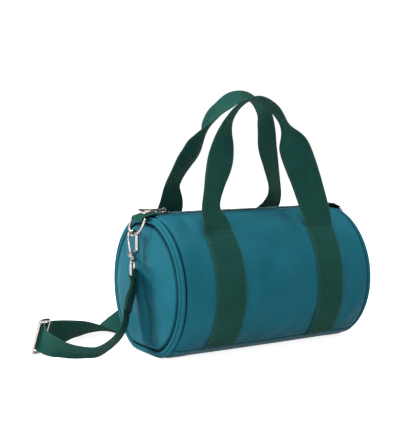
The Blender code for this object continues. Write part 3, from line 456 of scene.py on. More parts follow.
def smooth_samples(stations, step):
    """Points read from one smooth curve through stations of any number of values."""
    knots = [0.0]
    for before, after in zip(stations, stations[1:]):
        knots.append(knots[-1] + max((Vector(after[:3]) - Vector(before[:3])).length, 1e-6))
    count = len(stations)
    slopes = []
    for k in range(count):
        low, high = max(k - 1, 0), min(k + 1, count - 1)
        slopes.append([(b - a) / (knots[high] - knots[low])
                       for a, b in zip(stations[low], stations[high])])
    samples = []
    for k in range(count - 1):
        span = knots[k + 1] - knots[k]
        pieces = max(1, ceil(span / step))
        for piece in range(pieces):
            t = piece / pieces
            rise = t * t * (3 - 2 * t)
            leave = t * (1 - t) * (1 - t) * span
            arrive = t * t * (t - 1) * span
            samples.append([a + (b - a) * rise + leave * p + arrive * q for a, b, p, q
                            in zip(stations[k], stations[k + 1], slopes[k], slopes[k + 1])])
    samples.append(list(stations[-1]))
    return samples


def plain_mesh(made):
    """Turn what the modifiers of an object give into its own mesh, and take them off."""
    shown = made.evaluated_get(bpy.context.evaluated_depsgraph_get())
    mesh = bpy.data.meshes.new_from_object(shown)
    made.modifiers.clear()
    made.data = mesh
    return made


def joined(made, extras, operation="UNION"):
    """Add other bodies to one, or cut them from it."""
    for extra in extras:
        step = made.modifiers.new(extra.name, "BOOLEAN")
        step.operation = operation
        step.object = extra
        step.solver = "EXACT"
    plain_mesh(made)
    for extra in extras:
        bpy.data.objects.remove(extra)
    return made


def bevelled(made, width):
    step = made.modifiers.new("Edges", "BEVEL")
    step.width = width
    step.segments = 2
    step.limit_method = "ANGLE"
    step.angle_limit = radians(30)
    plain_mesh(made)
    made.data.shade_smooth()
    made.data.set_sharp_from_angle(angle=radians(50))
    return made


def refined(node, finish, bevel):
    """A copy of a node with its flat faces whole again and its edges rounded."""
    body = bmesh.new()
    body.from_mesh(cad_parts[node].data)
    bmesh.ops.remove_doubles(body, verts=body.verts, dist=0.002 * MM)
    bmesh.ops.dissolve_limit(body, angle_limit=radians(1), verts=body.verts, edges=body.edges)
    mesh = bpy.data.meshes.new(node)
    body.to_mesh(mesh)
    body.free()
    mesh.materials.append(finish)
    made = bpy.data.objects.new("fine_" + node, mesh)
    bpy.context.scene.collection.objects.link(made)
    bevelled(made, bevel)
    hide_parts(node)
    return made


# Finishes

def add(tree, kind, inputs=None, **settings):
    """A node with its settings; an input is a value, or an output to link it to."""
    made = tree.nodes.new(kind)
    for name, value in settings.items():
        setattr(made, name, value)
    for name, value in (inputs or {}).items():
        if isinstance(value, bpy.types.NodeSocket):
            tree.links.new(value, made.inputs[name])
        else:
            made.inputs[name].default_value = value
    return made


def calc(tree, operation, *values):
    return add(tree, "ShaderNodeMath", dict(enumerate(values)), operation=operation).outputs[0]


def blend_colour(tree, share, low, high, how="MIX"):
    made = add(tree, "ShaderNodeMix", {0: share, 6: low, 7: high}, data_type="RGBA", blend_type=how)
    return made.outputs[2]


def shader_group(name, inputs, outputs):
    tree = bpy.data.node_groups.new(name, "ShaderNodeTree")
    kinds = {"vector": "NodeSocketVector", "value": "NodeSocketFloat", "colour": "NodeSocketColor"}
    for label, kind, value in inputs:
        socket = tree.interface.new_socket(label, in_out="INPUT", socket_type=kinds[kind])
        if value is not None:
            socket.default_value = value
    for label, kind in outputs:
        tree.interface.new_socket(label, in_out="OUTPUT", socket_type=kinds[kind])
    return tree, add(tree, "NodeGroupInput").outputs, add(tree, "NodeGroupOutput").inputs


def make_weave_group():
    """Threads over and under each other, on a pattern laid out in metres."""
    tree, given, result = shader_group(
        "Plain Weave", [("Place", "vector", None), ("Thread", "value", 0.5 * MM)],
        [("Height", "value")])
    part = add(tree, "ShaderNodeSeparateXYZ", {0: given["Place"]}).outputs
    turn = calc(tree, "DIVIDE", pi, given["Thread"])
    warp = calc(tree, "SINE", calc(tree, "MULTIPLY", part["X"], turn))
    weft = calc(tree, "SINE", calc(tree, "MULTIPLY", part["Y"], turn))
    tree.links.new(calc(tree, "MULTIPLY_ADD", calc(tree, "MULTIPLY", warp, weft), 0.5, 0.5),
                   result["Height"])
    return tree


def make_rib_group():
    """The ribs of webbing: rounded cords across it, wrapped in fine yarns that run along it, with a
    painted shade between the ribs.
    """
    tree, given, result = shader_group(
        "Webbing Ribs",
        [("Place", "vector", None), ("Rib", "value", 1.25 * MM), ("Yarn", "value", 0.6 * MM)],
        [("Height", "value"), ("Shade", "value")])
    part = add(tree, "ShaderNodeSeparateXYZ", {0: given["Place"]}).outputs
    wander = add(tree, "ShaderNodeTexNoise", {"Vector": given["Place"], "Scale": 90.0,
                                              "Detail": 1.0})
    shift = calc(tree, "MULTIPLY", calc(tree, "SUBTRACT", wander.outputs["Fac"], 0.5), 0.7 * MM)
    length = calc(tree, "ADD", part["Y"], shift)
    rib_turn = calc(tree, "MULTIPLY", length, calc(tree, "DIVIDE", pi, given["Rib"]))
    yarn_turn = calc(tree, "MULTIPLY", part["X"], calc(tree, "DIVIDE", tau, given["Yarn"]))
    rib = calc(tree, "ABSOLUTE", calc(tree, "SINE", rib_turn))
    yarn = calc(tree, "SINE", yarn_turn)
    tree.links.new(calc(tree, "MULTIPLY_ADD", yarn, 0.12, rib), result["Height"])
    # Painted shade: 1 on the ribs' tops and 0 between them, where shade falls.
    tree.links.new(calc(tree, "POWER", rib, 0.8), result["Shade"])
    return tree


def make_patch_group():
    """Slow, cloudy changes over a surface, from 0 to 1."""
    tree, given, result = shader_group(
        "Cloudiness", [("Place", "vector", None), ("Size", "value", 30 * MM)],
        [("Cloud", "value")])
    scale = calc(tree, "DIVIDE", 1.0, given["Size"])
    cloud = add(tree, "ShaderNodeTexNoise", {"Vector": given["Place"], "Scale": scale,
                                             "Detail": 3.0, "Roughness": 0.55})
    reach = add(tree, "ShaderNodeMapRange", {"Value": cloud.outputs["Fac"], "From Min": 0.3,
                                             "From Max": 0.7})
    tree.links.new(reach.outputs["Result"], result["Cloud"])
    return tree


WEAVE = make_weave_group()
RIBS = make_rib_group()
CLOUDS = make_patch_group()


def use(tree, group, **inputs):
    return add(tree, "ShaderNodeGroup", inputs, node_tree=group).outputs


def start_material(name, **sockets):
    """A material with its plain values set on the shader itself."""
    material = bpy.data.materials.new(name)
    material.use_nodes = True
    tree = material.node_tree
    shader = tree.nodes["Principled BSDF"]
    for label, value in sockets.items():
        shader.inputs[label.replace("_", " ")].default_value = value
    places = add(tree, "ShaderNodeTexCoord").outputs
    return material, tree, shader.inputs, places


def bump(tree, target, height, distance, strength, under=None):
    inputs = {"Height": height, "Distance": distance, "Strength": strength}
    if under is not None:
        inputs["Normal"] = under
    made = add(tree, "ShaderNodeBump", inputs).outputs["Normal"]
    if target is not None:
        tree.links.new(made, target)
    return made


def roughen(tree, target, share, low, high):
    """Set a roughness that goes from low to high with a share."""
    rough = add(tree, "ShaderNodeMapRange", {"Value": share, "To Min": low, "To Max": high})
    tree.links.new(rough.outputs["Result"], target)


def shaded(tree, target, colour, shade):
    """Set a colour that is darkened by a shade."""
    tint = add(tree, "ShaderNodeCombineColor", {0: shade, 1: shade, 2: shade}).outputs[0]
    tree.links.new(blend_colour(tree, 1.0, colour, tint, "MULTIPLY"), target)


def make_satin(name, dark, light, thread=0.42 * MM):
    """Satin nylon: a smooth close weave with a soft sheen, very slightly uneven; pieces may carry a
    painted seam shade.
    """
    material, tree, shader, places = start_material(
        name, Sheen_Weight=0.04, Sheen_Roughness=0.4, Sheen_Tint=(0.3, 0.8, 1.0, 1),
        Specular_IOR_Level=0.03)
    cloud = use(tree, CLOUDS, Place=places["Object"], Size=34 * MM)["Cloud"]
    fleck = use(tree, CLOUDS, Place=places["Object"], Size=1.6 * MM)["Cloud"]
    weave = use(tree, WEAVE, Place=places["UV"], Thread=thread)["Height"]
    colour = blend_colour(tree, cloud, dark, light)
    shade = calc(tree, "MULTIPLY_ADD", calc(tree, "MULTIPLY", weave, fleck), 0.3, 0.85)
    # Painted shade: pieces that carry this attribute have their colour darkened by up to 85 %,
    # standing in for the shade in a seam's recess.
    painted_seam_shade = add(tree, "ShaderNodeAttribute", attribute_name="painted_seam_shade").outputs["Fac"]
    shade = calc(tree, "MULTIPLY", shade, calc(tree, "MULTIPLY_ADD", painted_seam_shade, -0.85, 1.0))
    shaded(tree, shader["Base Color"], colour, shade)
    roughen(tree, shader["Roughness"], cloud, 0.42, 0.50)
    crumple = bump(tree, None, cloud, 0.5 * MM, 0.5)
    bump(tree, shader["Normal"], weave, 0.04 * MM, 0.6, under=crumple)
    return material


def make_webbing_finish(name, width, dark, light, selvedge):
    """Ribbed webbing, with paler selvedges where the yarns turn back."""
    material, tree, shader, places = start_material(
        name, Sheen_Weight=0.05, Sheen_Roughness=0.35, Sheen_Tint=(0.3, 0.9, 0.7, 1),
        Specular_IOR_Level=0.02)
    ribs = use(tree, RIBS, Place=places["UV"], Rib=1.7 * MM, Yarn=0.7 * MM)
    cloud = use(tree, CLOUDS, Place=places["Object"], Size=18 * MM)["Cloud"]
    fleck = use(tree, CLOUDS, Place=places["UV"], Size=1.1 * MM)["Cloud"]
    part = add(tree, "ShaderNodeSeparateXYZ", {0: places["UV"]}).outputs
    edge = add(tree, "ShaderNodeMapRange", {
        "Value": calc(tree, "ABSOLUTE", part["X"]), "From Min": width / 2 - 1.5 * MM,
        "From Max": width / 2 - 0.7 * MM}).outputs["Result"]
    # Painted shade: the colour is darker between the ribs and lighter on their tops.
    colour = blend_colour(tree, ribs["Shade"], dark, light)
    colour = blend_colour(tree, calc(tree, "MULTIPLY", edge, 0.7), colour, selvedge)
    tone = calc(tree, "MULTIPLY_ADD", cloud, 0.18, calc(tree, "MULTIPLY_ADD", fleck, 0.16, 0.83))
    shaded(tree, shader["Base Color"], colour, tone)
    roughen(tree, shader["Roughness"], fleck, 0.50, 0.66)
    bump(tree, shader["Normal"], ribs["Height"], 0.45 * MM, 0.9)
    return material


def make_cloth(name, dark, light, thread, roughness):
    """Plain woven cloth, for the lining and the zip's tapes."""
    material, tree, shader, places = start_material(name, Sheen_Weight=0.05,
                                                    Specular_IOR_Level=0.08)
    weave = use(tree, WEAVE, Place=places["UV"], Thread=thread)["Height"]
    cloud = use(tree, CLOUDS, Place=places["Object"], Size=9 * MM)["Cloud"]
    share = calc(tree, "MULTIPLY_ADD", weave, 0.6, calc(tree, "MULTIPLY", cloud, 0.4))
    tree.links.new(blend_colour(tree, share, dark, light), shader["Base Color"])
    roughen(tree, shader["Roughness"], cloud, roughness - 0.08, roughness + 0.08)
    bump(tree, shader["Normal"], weave, 0.12 * MM, 0.6)
    return material


def make_thread(name, dark, light):
    """Twisted sewing thread."""
    material, tree, shader, places = start_material(name, Sheen_Weight=0.2, Specular_IOR_Level=0.3)
    twist = add(tree, "ShaderNodeTexWave", {
        "Vector": places["Object"], "Scale": 900.0, "Distortion": 2.0},
        wave_type="BANDS", bands_direction="DIAGONAL").outputs["Fac"]
    cloud = use(tree, CLOUDS, Place=places["Object"], Size=14 * MM)["Cloud"]
    share = calc(tree, "MULTIPLY_ADD", twist, 0.5, calc(tree, "MULTIPLY", cloud, 0.5))
    tree.links.new(blend_colour(tree, share, dark, light), shader["Base Color"])
    roughen(tree, shader["Roughness"], twist, 0.5, 0.7)
    bump(tree, shader["Normal"], twist, 0.06 * MM, 0.5)
    return material


def make_nickel():
    """Bright nickel plate, with fine rubbed scratches and a faint warm tarnish."""
    material, tree, shader, places = start_material("nickel", Metallic=1.0, Coat_Weight=0.15,
                                                    Coat_Roughness=0.08)
    cloud = use(tree, CLOUDS, Place=places["Object"], Size=5 * MM)["Cloud"]
    lanes = add(tree, "ShaderNodeMapping", {0: places["Object"], "Scale": (1.0, 0.25, 4.0)})
    scratch = add(tree, "ShaderNodeTexNoise", {"Vector": lanes.outputs[0], "Scale": 700.0,
                                               "Detail": 4.0}).outputs["Fac"]
    tree.links.new(blend_colour(tree, cloud, NICKEL_BRIGHT, NICKEL_DULL), shader["Base Color"])
    rough = calc(tree, "MULTIPLY_ADD", scratch, 0.12, calc(tree, "MULTIPLY_ADD", cloud, 0.06, 0.07))
    tree.links.new(rough, shader["Roughness"])
    bump(tree, shader["Normal"], scratch, 0.01 * MM, 0.35)
    return material


def make_moulded(name, dark, light, size, rough, dent, shine):
    """Moulded plastic, slightly uneven: rough is a range, and dent a depth and its strength."""
    material, tree, shader, places = start_material(name, Specular_IOR_Level=shine)
    cloud = use(tree, CLOUDS, Place=places["Object"], Size=size)["Cloud"]
    tree.links.new(blend_colour(tree, cloud, dark, light), shader["Base Color"])
    roughen(tree, shader["Roughness"], cloud, *rough)
    bump(tree, shader["Normal"], cloud, *dent)
    return material


# Colours: the dark one and the light one
SATIN = ((0.0090, 0.098, 0.136, 1), (0.0115, 0.114, 0.157, 1))
# Webbing: the dark colour is the painted shade between the ribs, and the light one is the ribs'
# tops.
WEBBING = ((0.0034, 0.021, 0.0185, 1), (0.0130, 0.071, 0.057, 1))
WEBBING_SELVEDGE = (0.0220, 0.078, 0.052, 1)
LINING = ((0.008, 0.035, 0.045, 1), (0.016, 0.065, 0.080, 1))
TAPE = ((0.004, 0.045, 0.060, 1), (0.010, 0.090, 0.115, 1))
TEAL_THREAD = ((0.002, 0.028, 0.040, 1), (0.005, 0.052, 0.070, 1))
GREEN_THREAD = ((0.003, 0.018, 0.014, 1), (0.010, 0.040, 0.028, 1))
NICKEL_BRIGHT = (0.46, 0.41, 0.385, 1)
NICKEL_DULL = (0.33, 0.295, 0.28, 1)
COIL = ((0.007, 0.034, 0.043, 1), (0.045, 0.135, 0.160, 1))
BOARD = ((0.012, 0.012, 0.013, 1), (0.03, 0.03, 0.03, 1))

satin = make_satin("satin_nylon", *SATIN)
handle_webbing = make_webbing_finish("handle_webbing", HANDLE_WIDTH, *WEBBING, WEBBING_SELVEDGE)
strap_webbing = make_webbing_finish("strap_webbing", STRAP_WIDTH, *WEBBING, WEBBING_SELVEDGE)
tab_webbing = make_webbing_finish("tab_webbing", TAB_WIDTH, *WEBBING, WEBBING_SELVEDGE)
lining_cloth = make_cloth("lining_cloth", *LINING, 0.5 * MM, 0.7)
tape_cloth = make_cloth("tape_cloth", *TAPE, 0.8 * MM, 0.65)
teal_thread = make_thread("teal_thread", *TEAL_THREAD)
green_thread = make_thread("green_thread", *GREEN_THREAD)
nickel = make_nickel()
coil_nylon = make_moulded("zip_coil", *COIL, 2.4 * MM, (0.3, 0.45), (0.03 * MM, 0.4), 0.5)
board_finish = make_moulded("stiff_board", *BOARD, 3 * MM, (0.55, 0.75), (0.1 * MM, 0.5), 0.3)


# Rows of stitches and teeth

def make_row_tree():
    """Small rounded grains set along paths, each turned to the path and to the surface."""
    tree = bpy.data.node_groups.new("Grain Row", "GeometryNodeTree")
    face = tree.interface
    face.new_socket("Paths", in_out="INPUT", socket_type="NodeSocketGeometry")
    for label, value in (("Pitch", STITCH_PITCH), ("Length", STITCH_LENGTH),
                         ("Radius", THREAD_RADIUS), ("Turn", 0.0), ("Lift", 0.0)):
        socket = face.new_socket(label, in_out="INPUT", socket_type="NodeSocketFloat")
        socket.default_value = value
    face.new_socket("Finish", in_out="INPUT", socket_type="NodeSocketMaterial")
    face.new_socket("Grains", in_out="OUTPUT", socket_type="NodeSocketGeometry")
    given = add(tree, "NodeGroupInput").outputs
    curve = add(tree, "GeometryNodeMeshToCurve", {0: given["Paths"]}).outputs[0]
    spaced = add(tree, "GeometryNodeResampleCurve", {"Curve": curve, "Length": given["Pitch"]},
                 mode="LENGTH").outputs[0]
    out = add(tree, "GeometryNodeInputNamedAttribute", {"Name": "out"},
              data_type="FLOAT_VECTOR").outputs[0]
    rise = add(tree, "ShaderNodeVectorMath", {0: out, "Scale": given["Lift"]},
               operation="SCALE").outputs[0]
    lifted = add(tree, "GeometryNodeSetPosition", {"Geometry": spaced, "Offset": rise}).outputs[0]
    along = add(tree, "GeometryNodeInputTangent").outputs[0]
    facing = add(tree, "FunctionNodeAxesToRotation", {"Primary Axis": along, "Secondary Axis": out},
                 primary_axis="X", secondary_axis="Z").outputs[0]
    spin = add(tree, "FunctionNodeAxisAngleToRotation", {"Axis": (0, 0, 1),
                                                         "Angle": given["Turn"]}).outputs[0]
    turned_way = add(tree, "FunctionNodeRotateRotation", {0: facing, 1: spin},
                     rotation_space="LOCAL").outputs[0]
    half = calc(tree, "MULTIPLY", given["Length"], 0.5)
    size = add(tree, "ShaderNodeCombineXYZ", {0: half, 1: given["Radius"],
                                              2: given["Radius"]}).outputs[0]
    grain = add(tree, "GeometryNodeMeshUVSphere", {"Segments": 8, "Rings": 6,
                                                   "Radius": 1.0}).outputs["Mesh"]
    placed = add(tree, "GeometryNodeInstanceOnPoints", {
        "Points": lifted, "Instance": grain, "Rotation": turned_way, "Scale": size}).outputs[0]
    real = add(tree, "GeometryNodeRealizeInstances", {0: placed}).outputs[0]
    smooth = add(tree, "GeometryNodeSetShadeSmooth", {0: real}).outputs[0]
    finished = add(tree, "GeometryNodeSetMaterial", {"Geometry": smooth,
                                                     "Material": given["Finish"]}).outputs[0]
    result = add(tree, "NodeGroupOutput")
    tree.links.new(finished, result.inputs["Grains"])
    return tree


ROW_TREE = make_row_tree()


def grain_row(name, lines, finish, **sizes):
    """A piece made of grains along lines, which list points with the way out of the surface."""
    points, edges, outs = [], [], []
    for line in lines:
        start = len(points)
        points += [point for point, _ in line]
        outs += [component for _, out in line for component in out]
        edges += [(start + k, start + k + 1) for k in range(len(line) - 1)]
    mesh = bpy.data.meshes.new(name)
    mesh.from_pydata(points, edges, [])
    mesh.attributes.new("out", "FLOAT_VECTOR", "POINT").data.foreach_set("vector", outs)
    made = bpy.data.objects.new(name, mesh)
    step = made.modifiers.new("Grains", "NODES")
    step.node_group = ROW_TREE
    for item in ROW_TREE.interface.items_tree:
        if item.in_out == "INPUT" and item.name in sizes:
            step[item.identifier] = sizes[item.name]
        if item.in_out == "INPUT" and item.name == "Finish":
            step[item.identifier] = finish
    bpy.context.scene.collection.objects.link(made)
    return plain_mesh(made)


def webbing_stitches(name, lines, pitch=SMALL_STITCH_PITCH, length=SMALL_STITCH_LENGTH):
    return grain_row(name, lines, green_thread, Pitch=pitch, Length=length, Radius=THREAD_RADIUS,
                     Lift=WEBBING_STITCH_LIFT)


# Barrel

def side_swell(x):
    return SIDE_SWELL * (1 - (x / RING_X) ** 2)


def wall(x, turn, out=0.0):
    """A point on the plain barrel: turn runs from straight down, below zero on the front."""
    half_width = END_HALF_WIDTH + side_swell(x) + out
    height = CENTRE_HEIGHT - (HALF_HEIGHT + out) * cos(turn)
    floor = max(-out, 0.0)
    settle = BASE_ROUNDING * BASE_ROUNDING / (4 * FLAT_DROP)
    over = height - floor
    height = floor + max((over + sqrt(over * over + BASE_ROUNDING ** 2)) / 2 - settle, 0.0)
    return Vector((x, half_width * sin(turn), height))


# Beside each seam: distance from it and how far the cloth stands out there, in mm.
END_SEAM = ((2.6, -2.6), (3.4, -1.3), (5.0, -0.1), (9.0, 0.4), (20, 0.6), (34, 0.0))
BASE_SEAM_ABOVE = ((0.0, -1.9), (1.0, -0.9), (3.0, 0.1), (6.0, 0.35), (12.0, 0.0))
BASE_SEAM_BELOW = ((0.0, -0.7), (0.8, 0.25), (2.2, 0.3), (2.9, -0.05), (3.6, 0.25), (8.0, 0.0))
ZIP_SEAM = (
    (0.0, -0.2), (0.6, 0.3), (2.5, 0.35), (3.1, -1.0), (3.8, -1.1), (5.0, -0.6), (9.0, -0.7),
    (24, 0.0),
)

# Waves of cloth along a seam, long ones and short ones, in mm
RIPPLE_LENGTHS = (23, 6.5)

# Puckers along a seam: how high they stand, then their distance from it and their width in mm.
PANEL_END_PUCKER = (0.55 * MM, 6, 9)
ZIP_PUCKER = (0.3 * MM, 5, 8)
BASE_PUCKER = (0.35 * MM, 4, 7)
END_CLOTH_PUCKER = (0.5 * MM, 4, 7)

FOLD_DEPTH = 1.8
FOLD_BOW = 0.35
FOLD_REACH = (2.2, 2.6)         # how far a fold counts along and across, in halves of itself
TAIL_GRIP = (3 * MM, 6 * MM)    # how far a tail holds the panel beside it and above it
TAIL_GRIP_FADE = (5 * MM, 8 * MM)
TAIL_HOLD = 0.93
SAG = 1.7 * MM
SAG_SIZE = (46, 38)             # along the barrel and round it, in mm
SAG_START = 6
SAG_FADE = 30
SAG_HOLD = 0.6


def fold_height(folds, x, arc):
    """The folds' height at a place on the wall, in metres; x and arc in mm."""
    total = 0.0
    for fx, fy, heading, length, width, height in folds:
        dx, dy = x - fx, arc - fy
        c, s = cos(radians(heading)), sin(radians(heading))
        a = (dx * c + dy * s) / length
        if abs(a) > FOLD_REACH[0]:
            continue
        b = (dy * c - dx * s) / width - FOLD_BOW * a * a
        if abs(b) > FOLD_REACH[1]:
            continue
        total += height * exp(-a * a - b * b)
    return total * FOLD_DEPTH * MM


def under_tail(x, arc):
    """1 where a handle's webbing holds the panel flat, down to 0 beside it."""
    beside = HANDLE_WIDTH / 2 + TAIL_GRIP[0] - abs(abs(x) - HANDLE_CENTRE_X)
    above = HANDLE_STITCH_TURN * END_HALF_WIDTH + TAIL_GRIP[1] - arc * MM
    return ease(beside / TAIL_GRIP_FADE[0]) * ease(above / TAIL_GRIP_FADE[1])


def ripple(t, seed):
    """An uneven wave from -1 to 1 along a seam; t is in mm."""
    long, short = RIPPLE_LENGTHS
    slow = noise.noise(Vector((t / long, seed, 0.3)))
    return noise.noise(Vector((t / short, seed + 5, 0.7))) * (0.8 + slow)


def pucker(shape, t, seed, away):
    height, place, width = shape
    return height * ripple(t, seed) * exp(-((away - place) / width) ** 2)


def sculpt(x, turn):
    """How far the cloth stands out from the plain barrel."""
    end = (RING_X - abs(x)) / MM
    arc = abs(turn) * END_HALF_WIDTH / MM
    side = 1.0 if turn > 0 else -1.0
    x_mm = x / MM
    seam_arc = BASE_SEAM_TURN * END_HALF_WIDTH / MM
    zip_arc = (pi - asin(TAPE_OUTER / END_HALF_WIDTH)) * END_HALF_WIDTH / MM
    rise = along_list(END_SEAM, end) * MM
    rise += pucker(PANEL_END_PUCKER, arc * side, 3 if x > 0 else 9, end)
    if arc > seam_arc:
        rise += along_list(BASE_SEAM_ABOVE, arc - seam_arc) * MM
        loose = 1 - TAIL_HOLD * under_tail(x, arc)
        rise += fold_height(BACK_FOLDS if turn > 0 else FRONT_FOLDS, x_mm, arc) * loose
        rise += along_list(ZIP_SEAM, max(zip_arc - arc, 0.0)) * MM
        rise += pucker(ZIP_PUCKER, x_mm, 14 * side, zip_arc - arc)
    else:
        rise += along_list(BASE_SEAM_BELOW, seam_arc - arc) * MM
    rise += pucker(BASE_PUCKER, x_mm, 21 * side, arc - seam_arc)
    slow = noise.noise(Vector((x_mm / SAG_SIZE[0], arc * side / SAG_SIZE[1], 4.2)))
    sag = SAG * slow * ease((end - SAG_START) / SAG_FADE) * ease((arc - seam_arc) / SAG_FADE)
    return rise + sag * (1 - SAG_HOLD * under_tail(x, arc))


def soft_wall(x, turn, out=0.0):
    return wall(x, turn, out + sculpt(x, turn))


def wall_out(turn):
    return Vector((0, sin(turn), -cos(turn)))


def turn_at(across):
    """The turn, near the top, of a place this far from the middle of the zip."""
    return pi - asin(across / END_HALF_WIDTH)


def wall_piece(name, turns, finish, node):
    """A panel of the barrel from ring to ring."""
    columns = spread(-PANEL_END, PANEL_END, round(2 * PANEL_END / PANEL_STEP))
    fine = [RING_X - end * MM for end in (2.6, 3.0, 3.4, 4.0, 4.7, 5.6, 6.9)]
    columns = [-x for x in fine] + [x for x in columns if abs(x) < fine[-1] - MM] + fine[::-1]
    outer = [[soft_wall(x, turn) for turn in turns] for x in columns]
    inner = [[soft_wall(x, turn, -PANEL_THICKNESS) for turn in turns] for x in columns]
    spots = [(x, turn * END_HALF_WIDTH) for x in columns for turn in turns]
    made = shell(name, outer, inner, finish, spots)
    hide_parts(node)
    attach(made, "bag")
    return made


def side_turns(side):
    """Turns from the base seam to the zip, closer together near both seams."""
    low = BASE_SEAM_TURN + SEAM_GAP / END_HALF_WIDTH
    high = turn_at(TAPE_OUTER + SEAM_GAP)
    near = (0.4, 0.8, 1.3, 2.0, 2.8, 3.5, 4.5)
    step = MM / END_HALF_WIDTH
    clear = 5.5 * step
    turns = [low] + [low + e * step for e in near]
    count = round((high - low) * END_HALF_WIDTH / PANEL_STEP)
    turns += [t for t in spread(low, high, count) if low + clear < t < high - clear]
    turns += [high - e * step for e in reversed(near)] + [high]
    return [side * turn for turn in turns]


def make_barrel():
    wall_piece("front_cloth", side_turns(-1), satin, "front_panel")
    wall_piece("back_cloth", side_turns(1), satin, "back_panel")
    seam = BASE_SEAM_TURN
    step = MM / END_HALF_WIDTH
    edge = [seam - e * step for e in (0, 0.4, 0.8, 1.4, 2.2, 2.9, 3.6, 4.4)]
    middle = [t for t in spread(-seam, seam, 64) if abs(t) < seam - 5.4 * step]
    made = wall_piece("base_cloth", [-t for t in edge] + middle + edge[::-1], satin, "base_panel")
    lines = []
    for turn, reach in ((seam - 2.9 * step, 119 * MM),
                        (turn_at(TAPE_OUTER + SEAM_GAP + TAPE_SEAM_MARGIN), 118 * MM)):
        for way in (-turn, turn):
            lines.append([(soft_wall(x, way), wall_out(way)) for x in spread(-reach, reach, 90)])
    stitches = grain_row("panel_stitches", lines, teal_thread, Pitch=STITCH_PITCH,
                         Length=STITCH_LENGTH, Radius=THREAD_RADIUS, Lift=PANEL_STITCH_LIFT)
    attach(stitches, "bag")


def make_lining():
    """The lining hangs a little inside the panels, slit open under the zip, closed at its ends."""
    slit = asin(TAPE_OUTER / END_HALF_WIDTH)
    turns = spread(-pi + slit, pi - slit, 73)
    end = RING_X - LINING_END_ROOM
    columns = spread(-end, end, 60)
    grids = []
    for inset in (LINING_INSET, LINING_INSET + LINING_THICKNESS):
        rows = []
        for x in columns:
            depth = inset + LINING_END_DEPTH * max(0.0, (abs(x) - end) / LINING_END_ROUND + 1)
            rows.append([wall(x, turn, sculpt(x, turn) * LINING_FOLLOW - depth) for turn in turns])
        hub = [[row[0].lerp(row[-1], 0.5).lerp(p, share) for p in row] for row, share in
               ((rows[0], 0.05), (rows[0], 0.5), (rows[-1], 0.5), (rows[-1], 0.05))]
        for row in hub:
            for p in row:
                p.z = min(p.z, TOP - LINING_TOP_DROP)
        grids.append(hub[:2] + rows + hub[2:])
    spots = [(p.x, turn * END_HALF_WIDTH) for row in grids[0] for p, turn in zip(row, turns)]
    made = shell("lining_cloth", grids[0], grids[1], lining_cloth, spots)
    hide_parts("lining")
    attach(made, "bag")


def ring_point(side, turn, inset, out):
    """A point on an end seam: pulled in at its sides, and pressed down a little under the tab."""
    point = wall(RING_X, turn, -inset)
    narrowing = CORD_NARROWING_FRONT if point.y < 0 else CORD_NARROWING_BACK
    point.y *= 1 - narrowing * out / CORD_OUT / END_HALF_WIDTH
    press = CORD_DIP * ease((TAB_WIDTH / 2 + TAB_PRESS_FADE - abs(point.y)) / TAB_PRESS_FADE)
    if point.z > CENTRE_HEIGHT:
        point.z -= press
    point.x = side * (RING_X + out)
    return point


def make_piping(name, side):
    """Two cords side by side: the welt on the barrel's edge and the piping round the end."""
    count, sides = PIPING_STEPS, PIPING_SIDES
    sideways = Vector((1, 0, 0))
    points, faces, spots = [], [], []
    for seed, (inset, out, radius) in enumerate(((WELT_INSET, WELT_OUT, WELT_RADIUS),
                                                 (CORD_INSET, CORD_OUT, CORD_RADIUS))):
        path = [ring_point(side, tau * k / count, inset, out) for k in range(count)]
        start = len(points)
        for k, (point, along) in enumerate(zip(path, tangents(path, True))):
            away = along.cross(sideways).normalized()
            wave = ripple(k * PIPING_STEP_MM, 31 + side + 7 * seed)
            size = radius * (1 + PIPING_UNEVENNESS * wave)
            angles = [tau * s / sides for s in range(sides)]
            points += [point + size * (cos(angle) * away + sin(angle) * sideways)
                       for angle in angles]
            spots += [(s * 0.8 * MM, k * PIPING_STEP_MM * MM) for s in range(sides)]
        faces += [tuple(start + corner for corner in face)
                  for face in loft_faces(count, sides, True)]
    made = make_body("cord_" + name, points, faces, satin, spots)
    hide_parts("piping_" + name)
    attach(made, "bag")


# The long crease of the left end: height and place across in mm, then height and depth in mm.
LEFT_CREASE = ((7, -6), (25, -8), (48, -6), (69, 1), (91, 3), (106, 4), (120, 6), (135, 9))
LEFT_CREASE_DEPTH = (
    (4, 2.0), (22, 5.6), (45, 6.6), (69, 5.6), (91, 3.4), (108, 2.2), (135, 1.8), (150, 0),
)
RIGHT_CREASE = ((2, 10), (40, 6), (80, -6), (120, -4), (150, 0))
RIGHT_CREASE_DEPTH = ((4, 0.4), (40, 2.2), (80, 2.6), (110, 1.2), (150, 0))
CREASES = {-1: (LEFT_CREASE, LEFT_CREASE_DEPTH), 1: (RIGHT_CREASE, RIGHT_CREASE_DEPTH)}
CREASE_STEEP = 4.5
CREASE_GENTLE = 26
CREASE_FADE = 16


def crease(side, y, z):
    """A long valley in the end cloth, steep on the side of the bag's back and gentle in front."""
    line, depth = CREASES[side]
    beyond = along_list(line, z) - y
    height = along_list(depth, z)
    if beyond < 0:
        return -height * exp(-(beyond / CREASE_STEEP) ** 2)
    return -height * exp(-beyond / CREASE_GENTLE)


